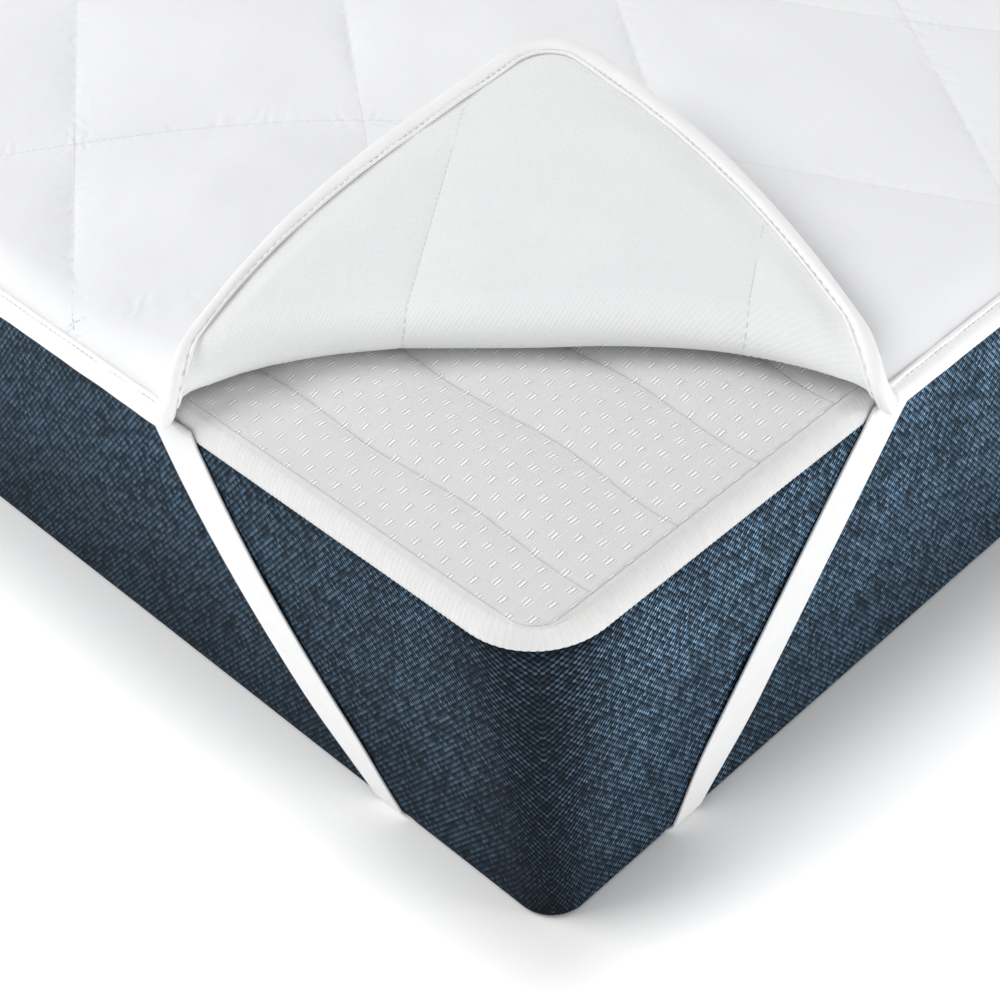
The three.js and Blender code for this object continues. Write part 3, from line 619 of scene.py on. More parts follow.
def sheet_row_curves():
    """Each row is a curve s(t), listed from the folded corner to the far one."""
    curves = []
    flap_step = 4
    flap_reach = FOLD_MIDDLE - FOLD_RADIUS * ROLL_TURN - FIELD_LOW * SQRT2
    for beyond in np.arange(flap_reach - 2, 1, -flap_step):
        curves.append(lambda t, beyond=beyond: roll_end(t) - beyond)
    roll_steps = 14
    for step in range(roll_steps, -1, -1):
        curves.append(lambda t, part=step / roll_steps: lerp(crease_at(t)[0], roll_end(t), part))
    near_steps = 22
    for step in range(1, near_steps):
        part = 1 - (1 - step / near_steps) ** 1.35
        curves.append(lambda t, part=part: lerp(crease_at(t)[0], ROW_START + quilt_row_offset(t), part))
    cells = math.ceil((LENGTH + WIDTH) / ROW_PITCH)
    for cell in range(cells):
        for part in seam_graded(CELL_STEPS):
            curves.append(lambda t, row=cell + part: ROW_START + row * ROW_PITCH + quilt_row_offset(t))
    return curves


def solve_rising(rising):
    """The t at which a rising function of t passes zero."""
    low, high = -3 * LENGTH, 3 * LENGTH
    for _ in range(50):
        middle = (low + high) / 2
        if rising(middle) < 0:
            low = middle
        else:
            high = middle
    return (low + high) / 2


def row_ends(curve):
    """Both ends of a row inside the field, each with the side of the field that it lies on."""
    front = solve_rising(lambda t: curve(t) + t - FIELD_LOW * SQRT2)
    far_side = solve_rising(lambda t: t - curve(t) + FIELD_HIGH_B * SQRT2)
    near_side = solve_rising(lambda t: t - curve(t) + FIELD_LOW * SQRT2)
    back = solve_rising(lambda t: curve(t) + t - FIELD_HIGH_A * SQRT2)
    left = (front, "front") if front > far_side else (far_side, "far_side")
    right = (near_side, "near_side") if near_side < back else (back, "back")
    return left, right


def row_columns(curve, from_t, to_t):
    """Crossings of a row with the columns, which drift sideways as s grows."""
    reach = math.ceil(2 * LENGTH / COLUMN_PITCH)
    parts = seam_graded(CELL_STEPS)
    columns = (np.arange(-reach, reach)[:, None] + parts[None, :]).ravel()
    t = np.zeros_like(columns)
    for _ in range(12):
        drift = COLUMN_SLOPE * (curve(t) - COLUMN_PIVOT)
        t = COLUMN_START + columns * COLUMN_PITCH - drift
    clear = 1.0
    return t[(t > from_t + clear) & (t < to_t - clear)]


def stitch_rows(first, second):
    """Triangles between two rows of (index, t) that run the same way."""
    triangles = []
    i = j = 0
    while i + 1 < len(first) or j + 1 < len(second):
        first_ends = i + 1 >= len(first)
        second_ends = j + 1 >= len(second)
        if not first_ends and (second_ends or first[i + 1][1] <= second[j + 1][1]):
            triangles.append((first[i][0], first[i + 1][0], second[j][0]))
            i += 1
        else:
            triangles.append((first[i][0], second[j + 1][0], second[j][0]))
            j += 1
    return triangles


def flat_sheet_mesh():
    """Flat points, the triangles between them, and the points along the outline."""
    points = []
    triangles = []

    def add_point(a, b):
        points.append((float(a), float(b)))
        return len(points) - 1

    def add_corner(a, b):
        return add_point(a, b), diagonal_of(a, b)[1]

    near_corner = add_corner(FIELD_LOW, FIELD_LOW)
    back_corner = add_corner(FIELD_HIGH_A, FIELD_LOW)
    far_corner = add_corner(FIELD_HIGH_A, FIELD_HIGH_B)
    left_corner = add_corner(FIELD_LOW, FIELD_HIGH_B)

    sides = {"front": [], "near_side": [], "back": [], "far_side": []}
    rows = [([near_corner], "front", "near_side")]
    for curve in sheet_row_curves():
        (left, left_side), (right, right_side) = row_ends(curve)
        if right - left < 3:
            continue
        across = [left, *row_columns(curve, left, right), right]
        row = [(add_point(*flat_of(float(curve(t)), t)), t) for t in across]
        sides[left_side].append(row[0])
        sides[right_side].append(row[-1])
        rows.append((row, left_side, right_side))
    rows.append(([far_corner], "far_side", "back"))

    for (row, left, right), (next_row, next_left, next_right) in zip(rows, rows[1:]):
        lower = list(row)
        if left != next_left:
            lower.insert(0, left_corner)
        if right != next_right:
            lower.append(back_corner)
        triangles.extend(stitch_rows(lower, next_row))

    stations = []

    def add_station(index, out_a, out_b):
        a, b = points[index]
        band = [add_point(a + out_a * (SHEET_RADIUS - inset), b + out_b * (SHEET_RADIUS - inset))
                for inset in BAND_INSETS]
        stations.append([index, *band])

    def add_corner_stations(corner, start_angle):
        steps = 12
        for step in range(steps + 1):
            angle = start_angle + step / steps * math.pi / 2
            add_station(corner[0], math.cos(angle), math.sin(angle))

    def add_side_stations(side, out_a, out_b, backwards=False):
        for index, _ in sorted(sides[side], key=lambda point: point[1], reverse=backwards):
            add_station(index, out_a, out_b)

    add_corner_stations(near_corner, math.pi)
    add_side_stations("near_side", 0, -1)
    add_corner_stations(back_corner, -math.pi / 2)
    add_side_stations("back", 1, 0, backwards=True)
    add_corner_stations(far_corner, 0)
    add_side_stations("far_side", 0, 1, backwards=True)
    add_corner_stations(left_corner, math.pi / 2)
    add_side_stations("front", -1, 0)

    for station, following in zip(stations, stations[1:] + stations[:1]):
        for inner, outer, next_inner, next_outer in zip(station, station[1:], following, following[1:]):
            triangles.append((inner, outer, next_outer))
            if inner != next_inner:
                triangles.append((inner, next_outer, next_inner))
    outline = [station[-1] for station in stations]
    return np.array(points), np.array(triangles), outline


def make_panel(materials):
    flat, triangles, outline = flat_sheet_mesh()
    a, b = flat.T
    middle, turn = place_sheet(a, b)
    normal = sheet_normal(a, b)
    above, below = sheet_heights(a, b, turn)
    upper = middle + normal * above[:, None]
    lower = middle - normal * below[:, None]
    count = len(flat)
    faces = [*map(tuple, triangles.tolist())]
    faces += [(i + count, k + count, j + count) for i, j, k in triangles.tolist()]
    for i, j in zip(outline, outline[1:] + outline[:1]):
        faces.append((i, i + count, j + count, j))
    sides = np.ones(len(faces), dtype=int)
    sides[:len(triangles)] = 0
    column, row = quilt_coordinates(a, b)
    uv = {
        "Cloth": np.tile(flat, (2, 1)),
        "Quilt": np.tile(np.stack([column, row], axis=1), (2, 1)),
    }
    return make_piece("quilted_panel", np.concatenate([upper, lower]), faces, materials,
                      uv, sides)


# Binding round the edge of the sheet

def outline_stations(near_step, far_step, near_reach):
    """Places round the flat outline, from the middle of the folded corner: distance, a, b and outward way."""
    quarter = SHEET_RADIUS * math.pi / 2
    run_a = FIELD_HIGH_A - FIELD_LOW
    run_b = FIELD_HIGH_B - FIELD_LOW
    arcs_and_runs = [
        (quarter / 2, "arc", (FIELD_LOW, FIELD_LOW), -0.75),
        (run_a, "run", (FIELD_LOW, FIELD_LOW), (1, 0)),
        (quarter, "arc", (FIELD_HIGH_A, FIELD_LOW), -0.5),
        (run_b, "run", (FIELD_HIGH_A, FIELD_LOW), (0, 1)),
        (quarter, "arc", (FIELD_HIGH_A, FIELD_HIGH_B), 0),
        (run_a, "run", (FIELD_HIGH_A, FIELD_HIGH_B), (-1, 0)),
        (quarter, "arc", (FIELD_LOW, FIELD_HIGH_B), 0.5),
        (run_b, "run", (FIELD_LOW, FIELD_HIGH_B), (0, -1)),
        (quarter / 2, "arc", (FIELD_LOW, FIELD_LOW), 1),
    ]
    total = sum(length for length, *_ in arcs_and_runs)
    near = np.arange(0, near_reach, near_step)
    far_count = round((total - 2 * near_reach) / far_step)
    far = np.linspace(near_reach, total - near_reach, far_count, endpoint=False)
    distances = np.concatenate([near, far, total - near_reach + near])
    places = []
    for distance in distances:
        left = distance
        for length, kind, (a, b), way in arcs_and_runs:
            if left <= length or kind == "arc" and way == 1:
                break
            left -= length
        if kind == "arc":
            angle = way * math.pi + left / SHEET_RADIUS
            out = (math.cos(angle), math.sin(angle))
            place = (a, b)
        else:
            out = (way[1], -way[0])
            place = (a + way[0] * left, b + way[1] * left)
        places.append((distance, *place, *out))
    return np.array(places), total


def at_inset(stations, inset):
    """Flat points at an inset from the outline."""
    reach = SHEET_RADIUS - inset
    return stations[:, 1] + stations[:, 3] * reach, stations[:, 2] + stations[:, 4] * reach


# The binding's section: inset from the rim, height from the middle surface of the sheet.
BINDING_FACE = [
    (11.0, 2.75), (11.2, 3.4), (10.8, 4.0), (10.0, 4.2), (9.3, 3.7), (8.7, 3.3), (7.8, 3.7),
    (6.4, 4.3), (4.6, 4.6), (2.6, 4.4), (0.8, 3.7), (-0.9, 2.5), (-2.0, 1.2),
]
BINDING_NOSE = (-2.4, 0)
BINDING_INSIDE = [(-0.5, 0.0), (0.4, 2.75)]
STITCH_INSET = 8.7
STITCH_HEIGHT = 3.45


def binding_section():
    upper = BINDING_FACE
    lower = [(inset, -height) for inset, height in reversed(BINDING_FACE)]
    inside = [(inset, -height) for inset, height in reversed(BINDING_INSIDE)] + BINDING_INSIDE[1:]
    return [*upper, BINDING_NOSE, *lower, *inside]


def make_binding(material):
    near_step = 2.5
    far_step = 7
    stations, total = outline_stations(near_step, far_step, CLOSE_REACH)
    section = binding_section()
    rings = []
    for inset, height in section:
        a, b = at_inset(stations, inset)
        middle, _ = place_sheet(a, b)
        soft = 1 + 0.05 * unevenness(stations[:, 0], 0 * stations[:, 0] + inset * 2, 30, seed=8)
        rings.append(middle + sheet_normal(a, b) * (height * soft)[:, None])
    points = np.stack(rings, axis=1).reshape(-1, 3)
    faces = loop_faces(len(stations), len(section), close_rows=True)
    widths = np.cumsum([0, *np.hypot(*np.diff(np.array(section), axis=0).T)])
    along = np.minimum(stations[:, 0], total - stations[:, 0])
    strip = np.stack(np.meshgrid(along, widths, indexing="ij"), axis=-1).reshape(-1, 2)
    piece = make_piece("edge_binding", points, faces, [material], {"Strip": strip})
    return piece, total, float(widths[len(BINDING_FACE) * 2])


# Sewing

STITCH_PROFILE = [(-0.5, 0.25), (-0.28, 1.0), (0.28, 1.0), (0.5, 0.25)]
STITCH_SIDES = 4


def make_stitches(name, centres, ways, normals, material, length=3.0):
    """One joined mesh of sewing stitches, each a small rounded bar."""
    ways = unit(ways)
    beside = unit(np.cross(normals, ways))
    upright = np.cross(ways, beside)
    rings = []
    for along, width in STITCH_PROFILE:
        for side in range(STITCH_SIDES):
            angle = TAU * side / STITCH_SIDES
            out = beside * math.cos(angle) + upright * math.sin(angle)
            rings.append(centres + ways * (along * length) + out * (width * THREAD_RADIUS))
    points = np.stack(rings, axis=1)
    per_stitch = points.shape[1]
    pattern = loop_faces(len(STITCH_PROFILE), STITCH_SIDES)
    first_end = tuple(range(STITCH_SIDES))[::-1]
    last_end = tuple(range(per_stitch - STITCH_SIDES, per_stitch))
    faces = []
    for stitch in range(len(centres)):
        start = stitch * per_stitch
        faces.extend(tuple(start + i for i in face) for face in [*pattern, first_end, last_end])
    strip = np.zeros((len(centres), per_stitch, 2))
    strip[:, :, 0] = np.repeat([along * length for along, _ in STITCH_PROFILE], STITCH_SIDES)
    strip[:, :, 1] = np.tile(np.arange(STITCH_SIDES) / STITCH_SIDES, len(STITCH_PROFILE))
    return make_piece(name, points.reshape(-1, 3), faces, [material], {"Strip": strip.reshape(-1, 2)})


def evenly(a, b, pitch):
    """Points at an even pitch along a flat line, with the line's direction there."""
    lengths = np.cumsum([0, *np.hypot(np.diff(a), np.diff(b))])
    at = np.arange(pitch / 2, lengths[-1], pitch)
    place_a, place_b = np.interp(at, lengths, a), np.interp(at, lengths, b)
    ahead_a, ahead_b = np.interp(at + 1, lengths, a), np.interp(at + 1, lengths, b)
    behind_a, behind_b = np.interp(at - 1, lengths, a), np.interp(at - 1, lengths, b)
    return place_a, place_b, ahead_a - behind_a, ahead_b - behind_b


def quilt_seams():
    """Flat lines of all seams, clear of the binding."""
    lines = []
    diagonal = (LENGTH + WIDTH) / SQRT2
    s = np.arange(0, diagonal + OVERHANG * 2, 4.0)
    for column in range(-12, 20):
        t = COLUMN_START + column * COLUMN_PITCH - COLUMN_SLOPE * (s - COLUMN_PIVOT)
        lines.append(flat_of(s, t))
    t = np.arange(-WIDTH, LENGTH, 4.0)
    first_row = ROW_START + quilt_row_offset(t)
    lines.append(flat_of(first_row - FOLD_ROW_PITCH, t))
    for row in range(14):
        lines.append(flat_of(first_row + row * ROW_PITCH, t))
    kept = []
    for a, b in lines:
        inside = edge_inset(a, b) > BINDING_WIDTH + 2.5
        if inside.sum() > 4:
            first = np.argmax(inside)
            last = len(inside) - np.argmax(inside[::-1])
            kept.append((a[first:last], b[first:last]))
    return kept


def sewn_on_sheet(a, b, way_a, way_b, height):
    """Stitches at flat points: places at a height over the middle surface, directions and normals."""
    step = 0.4
    length = np.hypot(way_a, way_b)
    way_a, way_b = way_a / length * step, way_b / length * step
    middle, _ = place_sheet(a, b)
    ways = place_sheet(a + way_a, b + way_b)[0] - place_sheet(a - way_a, b - way_b)[0]
    normals = sheet_normal(a, b)
    return middle + normals * np.asarray(height)[..., None], ways, normals


def make_quilt_stitches(material):
    found = []
    for line_a, line_b in quilt_seams():
        a, b, way_a, way_b = evenly(line_a, line_b, STITCH_PITCH)
        _, turn = place_sheet(a, b)
        above, below = sheet_heights(a, b, turn)
        sunk = 0.05
        found.append(sewn_on_sheet(a, b, way_a, way_b, above - sunk))
        shown = turn > 0.3
        if shown.any():
            found.append(sewn_on_sheet(a[shown], b[shown], way_a[shown], way_b[shown], sunk - below[shown]))
    centres, ways, normals = (np.concatenate(parts) for parts in zip(*found))
    return make_stitches("quilt_stitches", centres, ways, normals, material)


def make_binding_stitches(material):
    stations, _ = outline_stations(STITCH_PITCH, STITCH_PITCH, CLOSE_REACH)
    a, b = at_inset(stations, STITCH_INSET)
    way_a, way_b = -stations[:, 4], stations[:, 3]
    found = [sewn_on_sheet(a, b, way_a, way_b, np.full(len(a), height))
             for height in (STITCH_HEIGHT, -STITCH_HEIGHT)]
    centres, ways, normals = (np.concatenate(parts) for parts in zip(*found))
    return make_stitches("binding_stitches", centres, ways, normals, material, length=2.7)


# Mattress

def mattress_stations(near_step, near_reach, far_step, corner_steps):
    """Places round the mattress from the middle of its front right corner: two corners, the part of the way
    between them, and the outward angle."""
    corners = [(1, -1), (1, 1), (-1, 1), (-1, -1)]
    quarter = math.pi / 2
    stations = []
    for i, corner in enumerate(corners):
        following = corners[(i + 1) % 4]
        first_angle = (i - 0.5) * quarter if i == 0 else (i - 1) * quarter
        arc = corner_steps // 2 if i == 0 else corner_steps
        for step in range(arc):
            stations.append((*corner, *corner, 0, lerp(first_angle, i * quarter, step / arc)))
        run = (LENGTH if i % 2 == 0 else WIDTH) - 2 * CORNER_TOP
        near = np.arange(0, near_reach, near_step)
        far_count = round((run - 2 * near_reach) / far_step)
        middle = np.linspace(near_reach, run - near_reach, far_count, endpoint=False)
        for distance in [*near, *middle, *(run - near[::-1])]:
            stations.append((*corner, *following, distance / run, i * quarter))
    arc = corner_steps // 2
    for step in range(1, arc):
        stations.append((*corners[0], *corners[0], 0, lerp(-quarter, -quarter / 2, step / arc)))
    return np.array(stations)


def mattress_loop(stations, inset, radius):
    """Plan points at the stations for an outline moved inwards, with its corners of the given radius."""
    half = np.array([WIDTH / 2 - inset - radius, LENGTH / 2 - inset - radius])
    start, end = stations[:, 0:2] * half, stations[:, 2:4] * half
    part, angle = stations[:, 4:5], stations[:, 5]
    out = np.stack([np.cos(angle), np.sin(angle)], axis=1)
    return lerp(start, end, part) + out * radius, out


def distance_round(stations):
    """Shorter way along the outline from the front right corner."""
    loop, _ = mattress_loop(stations, 0, (CORNER_TOP + CORNER_BOTTOM) / 2)
    steps = np.hypot(*(np.roll(loop, -1, axis=0) - loop).T)
    walked = np.concatenate([[0], np.cumsum(steps)[:-1]])
    return np.minimum(walked, steps.sum() - walked)


def corner_radius_at(z):
    return lerp(CORNER_BOTTOM, CORNER_TOP, z / SEAM)


def strap_slant(leg):
    return math.hypot(1, STRAP_SLOPES[leg] - STRAP_BOWS[leg] * STRAP_TOP)


def strap_run(leg, climbed):
    """Middle of a strap along the mattress and its half run, at a distance climbed from the floor."""
    middle = STRAP_FEET[leg] + STRAP_SLOPES[leg] * climbed - STRAP_BOWS[leg] * climbed ** 2
    gathered = lerp(STRAP_GATHERED, 1, smoothstep(climbed, 0, STRAP_GATHER_RISE))
    return middle, STRAP_WIDTH * strap_slant(leg) / 2 * gathered


def strap_dent(plan, part):
    """How far the lower edge is pressed in under the straps. part is 0 on the side and 1 on the floor."""
    from_end = LENGTH / 2 - np.abs(plan[:, 1])
    from_side = WIDTH / 2 - np.abs(plan[:, 0])
    climbed = BOTTOM_ROUND * math.pi / 2 * (1 - part)
    depth = 2.2
    leg_reach = BOTTOM_ROUND + 20
    clear, fade = 1, 7
    pressed = np.zeros(len(plan))
    for leg, along, out in (("end", from_side, from_end), ("side", from_end, from_side)):
        middle, half = strap_run(leg, climbed)
        beside = smoothstep(np.abs(along - middle), half + clear, half + fade)
        pressed = np.maximum(pressed, (out < leg_reach) * (1 - beside))
    return depth * part * pressed


def make_side(material):
    stations = mattress_stations(4, 190, 18, 32)
    around = distance_round(stations)
    rings, heights = [], []

    def add_ring(inset, z, part, climbed):
        plan, out = mattress_loop(stations, inset, max(corner_radius_at(z) - inset, 2))
        dent = strap_dent(plan, part) if z < BOTTOM_ROUND + 1 else np.zeros(len(plan))
        soft = 0.35 * (unevenness(around, 0 * around + z * 1.3, 130, seed=11) - 2.2) * math.sin(
            math.pi * min(max(z / SEAM, 0), 1))
        angle = part * math.pi / 2
        sideways = np.minimum(soft, 0) - dent * math.cos(angle)
        up = dent * math.sin(angle)
        rings.append(np.column_stack([plan + out * sideways[:, None], z + up]))
        heights.append(np.full(len(plan), climbed))

    inner_floor = 2.4
    add_ring(BOTTOM_ROUND + 30, inner_floor, 1, -30)
    add_ring(BOTTOM_ROUND + 14, inner_floor, 1, -14)
    add_ring(BOTTOM_ROUND + 8, 0, 1, -8)
    round_steps = 8
    for step in range(round_steps + 1):
        angle = step / round_steps * math.pi / 2
        inset = BOTTOM_ROUND * (1 - math.sin(angle))
        add_ring(inset, BOTTOM_ROUND * (1 - math.cos(angle)), 1 - step / round_steps, BOTTOM_ROUND * angle)
    arc = BOTTOM_ROUND * math.pi / 2
    for z in np.linspace(BOTTOM_ROUND, SIDE_TOP, 22)[1:]:
        add_ring(0, z, 0, arc + z - BOTTOM_ROUND)
    add_ring(TAPE_DEPTH, SIDE_TOP, 0, arc + SEAM - BOTTOM_ROUND + TAPE_DEPTH)
    count = len(stations)
    faces = loop_faces(len(rings), count)
    points = np.concatenate(rings)
    bottom, top = len(points), len(points) + 1
    points = np.vstack([points, [0, 0, inner_floor], [0, 0, SIDE_TOP]])
    last = (len(rings) - 1) * count
    for i in range(count):
        j = (i + 1) % count
        faces.append((bottom, j, i))
        faces.append((top, last + i, last + j))
    side = np.column_stack([np.tile(around, len(rings)), np.concatenate(heights)])
    # Weight for the painted light of the side cover: 1 on the long sides, 0 on the ends.
    long_side = np.tile(np.cos(stations[:, 5]) ** 2, len(rings))
    facing = np.column_stack([long_side, np.zeros(len(long_side))])
    centres = np.zeros((2, 2))
    uv = {"Side": np.vstack([side, centres]), "Facing": np.vstack([facing, centres])}
    return make_piece("mattress_side_cover", points, faces, [material], uv)


TAPE_SECTION_STEPS = 12
TAPE_RIB_PITCH = 2.7
TAPE_RIB_HEIGHT = 0.3


def tape_inner_edge(stations):
    """Plan points straight across the tape from its outer edge, on the sharper outline of the top panel."""
    centre, out = mattress_loop(stations, CORNER_TOP, 0)
    to_side = CORNER_TOP - TAPE_DEPTH
    to_arc = to_side - CORNER_INSIDE
    longer, shorter = np.abs(out).max(axis=1), np.abs(out).min(axis=1)
    ahead = to_arc * (longer + shorter)
    on_arc = ahead + np.sqrt(np.maximum(ahead ** 2 - 2 * to_arc ** 2 + CORNER_INSIDE ** 2, 0))
    on_side = to_side / longer
    reach = np.where(on_side * shorter < to_arc, on_side, on_arc)
    return centre + out * reach[:, None]


def make_tape(material):
    """A quarter-round tape with cross ribs and a flat sewn edge beside the top panel."""
    stations = mattress_stations(TAPE_RIB_PITCH / 6, CLOSE_REACH, 7, 120)
    around = distance_round(stations)
    outside, out = mattress_loop(stations, 0, CORNER_TOP)
    inside = tape_inner_edge(stations)
    rings, widths = [], []
    for step in range(TAPE_SECTION_STEPS + 1):
        part = step / TAPE_SECTION_STEPS
        angle = part * math.pi / 2
        ribs = np.abs(np.sin(math.pi * (around / TAPE_RIB_PITCH + 0.9 * math.sin(angle))))
        ribbed = 1 - smoothstep(part, 0.72, 0.86)
        sunk = TAPE_RIB_HEIGHT * (1 - np.sqrt(ribs)) * ribbed + 0.5 * math.exp(-((part - 0.84) / 0.05) ** 2)
        plan = lerp(outside, inside, 1 - math.cos(angle)) - out * (sunk * math.cos(angle))[:, None]
        rings.append(np.column_stack([plan, SEAM + TAPE_RISE * math.sin(angle) - sunk * math.sin(angle)]))
        widths.append(np.full(len(plan), part * 18))
    rings.append(np.column_stack([inside, np.full(len(inside), SEAM)]))
    widths.append(np.full(len(inside), 32))
    section = len(rings)
    points = np.stack(rings, axis=1).reshape(-1, 3)
    strip = np.stack([np.repeat(around, section), np.stack(widths, axis=1).ravel()], axis=1)
    faces = loop_faces(len(stations), section, close_rows=True)
    return make_piece("mattress_edge_tape", points, faces, [material], {"Strip": strip})


TOP_HALF_WIDTH = WIDTH / 2 - TOP_INSET
TOP_HALF_LENGTH = LENGTH / 2 - TOP_INSET
TOP_RADIUS = CORNER_INSIDE - (TOP_INSET - TAPE_DEPTH)


def channel_drift(x):
    return 1.2 * unevenness(x, 0 * x, 160, seed=21)


def channel_at(x, y):
    """Whole numbers on the channel seams."""
    return (y + LENGTH / 2 - CHANNEL_START + channel_drift(x)) / CHANNEL_PITCH


def top_height(x, y):
    """Height of the mattress top: a crown, drawn down along the channel seams."""
    from_side = TOP_HALF_WIDTH - np.abs(x)
    from_end = TOP_HALF_LENGTH - np.abs(y)
    in_corner = TOP_RADIUS - np.hypot(TOP_RADIUS - from_side, TOP_RADIUS - from_end)
    cornered = (from_side < TOP_RADIUS) & (from_end < TOP_RADIUS)
    depth = np.maximum(np.where(cornered, in_corner, np.minimum(from_side, from_end)), 0)
    crown = CROWN * (1 - np.exp(-((depth / CROWN_REACH) ** 2)))
    puff = np.sqrt(np.abs(np.sin(math.pi * channel_at(x, y))))
    edge = np.minimum(1, depth / CROWN_REACH)
    soft = 0.25 * unevenness(x, y, 60, seed=22) - 0.4
    return SEAM + TAPE_RISE + crown - CHANNEL_DEPTH * (1 - puff) * edge + np.minimum(soft, 0) * edge


def graded_from(start, end, fine, coarse, fine_reach):
    """Places from start to end, close together near the start."""
    near = np.arange(start, start + math.copysign(fine_reach, end - start), math.copysign(fine, end - start))
    far = np.linspace(near[-1], end, round(abs(end - near[-1]) / coarse) + 1)[1:]
    return np.concatenate([near, far])


def make_top(material):
    columns = graded_from(TOP_HALF_WIDTH, -TOP_HALF_WIDTH, 3, 12, 340)[::-1]
    angles = np.linspace(0, math.pi / 2, 10)
    corner_rows = TOP_HALF_LENGTH - TOP_RADIUS * (1 - np.cos(angles))
    clear = TOP_HALF_LENGTH - TOP_RADIUS - 1
    straight_rows = graded_from(-clear, clear, 2.2, 8, 340)
    rows = np.sort(np.concatenate([-corner_rows, straight_rows, corner_rows]))
    into_corner = np.clip(np.abs(rows) - TOP_HALF_LENGTH + TOP_RADIUS, 0, TOP_RADIUS)
    half_widths = TOP_HALF_WIDTH - TOP_RADIUS + np.sqrt(TOP_RADIUS ** 2 - into_corner ** 2)
    inner = TOP_HALF_WIDTH - 2 * TOP_RADIUS
    beyond = (np.abs(columns) - inner) / (TOP_HALF_WIDTH - inner)
    x = np.where(beyond > 0, np.sign(columns) * lerp(inner, half_widths[:, None], beyond), columns)
    y = np.broadcast_to(rows[:, None], x.shape)
    points = np.stack([x, y, top_height(x, y)], axis=-1).reshape(-1, 3)
    width, count = len(columns), len(rows)
    index = np.arange(width * count).reshape(count, width)
    faces = np.stack([index[:-1, :-1], index[:-1, 1:], index[1:, 1:], index[1:, :-1]], axis=-1).reshape(-1, 4)
    rim = [*index[0, :-1], *index[:-1, -1], *index[-1, :0:-1], *index[:0:-1, 0]]
    floor = points[rim].copy()
    floor[:, 2] = SEAM
    start = len(points)
    middle = start + len(rim)
    faces = [tuple(face) for face in faces.tolist()]
    for i in range(len(rim)):
        j = (i + 1) % len(rim)
        faces.append((int(rim[j]), int(rim[i]), start + i, start + j))
        faces.append((start + j, start + i, middle))
    points = np.vstack([points, floor, [0, 0, SEAM]])
    channel = channel_at(points[:, 0], points[:, 1])
    uv = {"Top": points[:, :2], "Channel": np.column_stack([channel, np.zeros(len(points))])}
    return make_piece("mattress_top_cover", points, faces, [material], uv)


def make_channel_stitches(material):
    """Stitches in the channel seams where the folded corner leaves the mattress top bare."""
    centres, ways, normals = [], [], []
    for channel in range(6):
        y0 = CHANNEL_START + channel * CHANNEL_PITCH - LENGTH / 2
        x = np.arange(TOP_HALF_WIDTH - 10, WIDTH / 2 - CLOSE_REACH, -STITCH_PITCH)
        y = y0 - channel_drift(x)
        centres.append(np.column_stack([x, y, top_height(x, y) + 0.1]))
        ways.append(np.tile([1.0, 0, 0], (len(x), 1)))
        normals.append(np.tile([0, 0, 1.0], (len(x), 1)))
    return make_stitches("channel_stitches", np.concatenate(centres), np.concatenate(ways),
                         np.concatenate(normals), material, length=2.8)


# Corner straps

STRAP_SECTION = [
    (-1, 0.35), (-0.985, 0.8), (-0.94, 1), (-0.5, 1), (0, 1), (0.5, 1), (0.94, 1), (0.985, 0.8), (1, 0.35),
]


def strap_leg():
    """Stations of one leg from its sewn end to the floor: out, height, distance climbed and normal."""
    arc = BOTTOM_ROUND * math.pi / 2
    stations = []
    for z in np.linspace(STRAP_TOP, BOTTOM_ROUND, 34)[:-1]:
        out = lerp(STRAP_STANDOFF, STRAP_TOP_STANDOFF, smoothstep(z, SEAM - 14, SEAM))
        stations.append((out, z, arc + z - BOTTOM_ROUND, 1, 0))
    round_steps = 10
    for step in range(round_steps + 1):
        part = step / round_steps
        angle = part * math.pi / 2
        radius = BOTTOM_ROUND + lerp(STRAP_STANDOFF, -STRAP_FLOOR_HEIGHT, part)
        out, down = math.cos(angle), math.sin(angle)
        place = (radius * out - BOTTOM_ROUND, BOTTOM_ROUND - radius * down)
        stations.append((*place, arc * (1 - part), out, -down))
    return stations


def strap_sections(leg, sign_x, sign_y):
    """Loops of points round the strap, with their distance along and across it."""
    slant = strap_slant(leg)
    half = STRAP_THICKNESS / 2
    loop = [*STRAP_SECTION, *[(width, -height) for width, height in reversed(STRAP_SECTION)]]
    sections, strips = [], []
    for out, z, climbed, normal_out, normal_z in strap_leg():
        points, strip = [], []
        middle, half_run = strap_run(leg, climbed)
        for width, height in loop:
            place = middle - width * half_run
            away = out + normal_out * height * half
            rise = z + normal_z * height * half
            if leg == "end":
                points.append((sign_x * (WIDTH / 2 - place), sign_y * (LENGTH / 2 + away), rise))
            else:
                points.append((sign_x * (WIDTH / 2 + away), sign_y * (LENGTH / 2 - place), rise))
            strip.append((climbed * slant, width * half_run / slant))
        sections.append(points)
        strips.append(strip)
    return np.array(sections), np.array(strips)


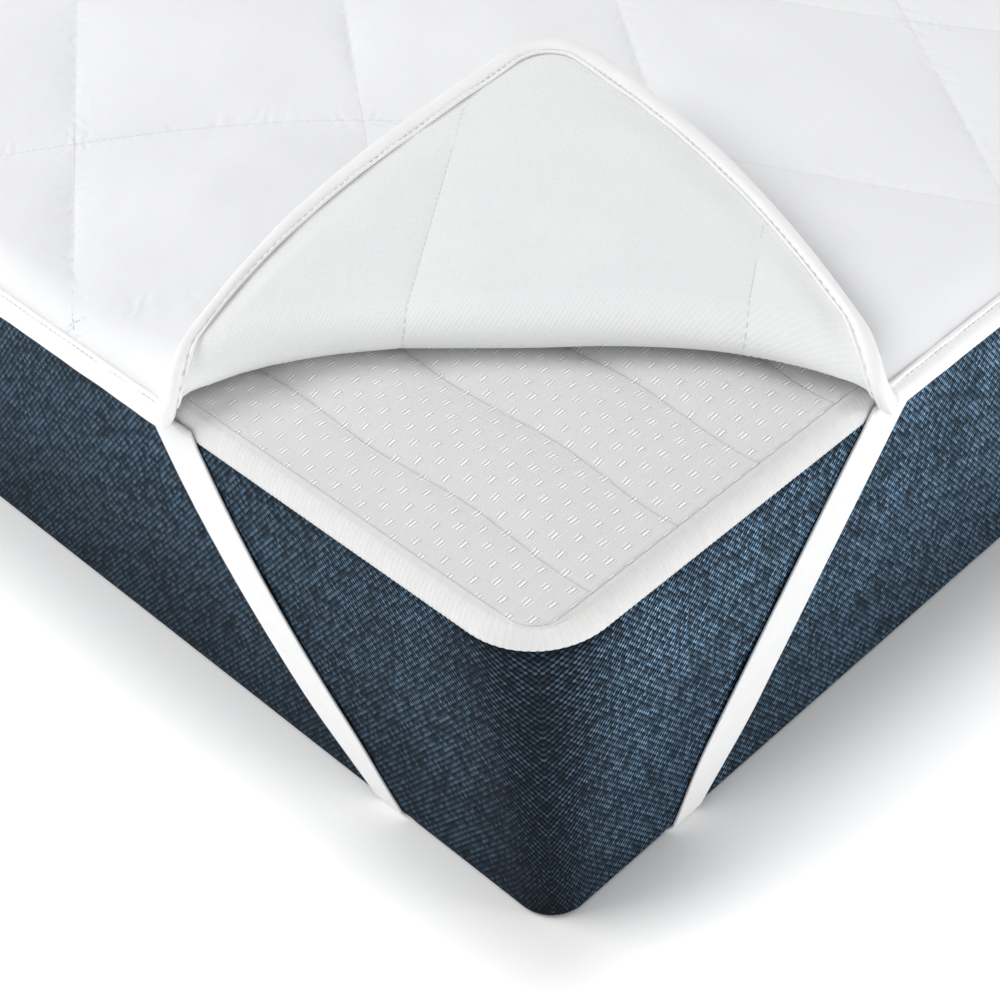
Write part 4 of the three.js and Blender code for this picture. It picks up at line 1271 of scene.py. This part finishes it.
def make_strap(name, sign_x, sign_y, material):
    end, end_strip = strap_sections("end", sign_x, sign_y)
    side, side_strip = strap_sections("side", sign_x, sign_y)
    span = np.linalg.norm(end[-1].mean(axis=0) - side[-1].mean(axis=0))
    under_parts = np.linspace(0, 1, 14)[1:-1, None, None]
    under = lerp(end[-1][None], side[-1][None], under_parts)
    under_strip = lerp(end_strip[-1][None], end_strip[-1][None] + np.array([-span, 0]), under_parts)
    sections = np.concatenate([end, under, side[::-1]])
    strips = np.concatenate([end_strip, under_strip, side_strip[::-1]])
    count = sections.shape[1]
    faces = loop_faces(len(sections), count)
    faces.append(tuple(range(count))[::-1])
    last = (len(sections) - 1) * count
    faces.append(tuple(range(last, last + count)))
    if sign_x * sign_y > 0:
        faces = [face[::-1] for face in faces]
    piece = make_piece(name, sections.reshape(-1, 3), faces, [material],
                       {"Strip": strips.reshape(-1, 2)})
    middles = sections.mean(axis=1)
    length = float(np.linalg.norm(np.diff(middles, axis=0), axis=1).sum())
    return piece, length


# Floor, light and camera

CAMERA_PLACE = (0.87038, -1.39379, 0.81066)
CAMERA_RIGHT = (0.70645, 0.70572, -0.05387)
CAMERA_UP = (-0.45495, 0.51108, 0.72926)
CAMERA_AHEAD = (-0.54218, 0.49067, -0.68211)
CAMERA_LENS = 76.585
CAMERA_SENSOR = 36
WORLD_STRENGTH = 0.62
LIGHTS = {
    "key": {"place": (-1.7, -2.7, 2.9), "size": 2.4, "power": 80},
    "side_fill": {"place": (2.4, 0.2, 0.45), "size": 0.8, "power": 16},
}


def make_camera():
    data = bpy.data.cameras.new("camera")
    data.sensor_width = CAMERA_SENSOR
    data.lens = CAMERA_LENS
    camera = bpy.data.objects.new("camera", data)
    axes = Matrix((CAMERA_RIGHT, CAMERA_UP, [-value for value in CAMERA_AHEAD])).transposed()
    camera.matrix_world = Matrix.Translation(CAMERA_PLACE) @ axes.to_4x4()
    bpy.context.scene.collection.objects.link(camera)
    bpy.context.scene.camera = camera


def make_floor():
    size = 80
    corners = [(-size, -size, 0), (size, -size, 0), (size, size, 0), (-size, size, 0)]
    mesh = bpy.data.meshes.new("floor")
    mesh.from_pydata(corners, [], [(0, 1, 2, 3)])
    mesh.materials.append(floor_material())
    floor = bpy.data.objects.new("floor", mesh)
    bpy.context.scene.collection.objects.link(floor)


def make_area_light(name, place, target, size, power):
    data = bpy.data.lights.new(name, "AREA")
    data.shape = "DISK"
    data.size = size
    data.energy = power
    light = bpy.data.objects.new(name, data)
    light.location = place
    way = np.array(target) - np.array(place)
    light.rotation_mode = "QUATERNION"
    light.rotation_quaternion = Vector(way).to_track_quat("-Z", "Y")
    bpy.context.scene.collection.objects.link(light)


def make_light():
    world = bpy.data.worlds.new("studio")
    bpy.context.scene.world = world
    world.use_nodes = True
    background = world.node_tree.nodes["Background"]
    background.inputs["Color"].default_value = (1, 1, 1, 1)
    background.inputs["Strength"].default_value = WORLD_STRENGTH
    corner = (WIDTH / 2 * MM, -LENGTH / 2 * MM, SEAM * MM)
    for name, light in LIGHTS.items():
        make_area_light(name, light["place"], corner, light["size"], light["power"])
    bpy.context.scene.view_settings.view_transform = "Standard"


# Assembly

CORNERS = {"front_right": (1, -1), "front_left": (-1, -1), "back_right": (1, 1), "back_left": (-1, 1)}


def build():
    make_camera()
    make_floor()
    make_light()
    thread = thread_material("thread")

    side = make_side(side_material())
    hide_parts("mattress_side")
    tape = make_tape(tape_material())
    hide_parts("mattress_tape")
    top = make_top(top_material())
    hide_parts("mattress_top")
    make_channel_stitches(thread)

    panel = make_panel([cover_material(), underside_material()])
    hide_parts("protector_panel")
    quilt_stitches = make_quilt_stitches(thread)

    binding, edge_length, strip_width = make_binding(binding_material())
    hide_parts("protector_binding")
    binding_stitches = make_binding_stitches(thread)
    strip_width * MM
    edge_length * MM

    elastic = elastic_material()
    for corner, (sign_x, sign_y) in CORNERS.items():
        strap, length = make_strap(f"elastic_{corner}", sign_x, sign_y, elastic)
        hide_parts(f"strap_{corner}")


build()
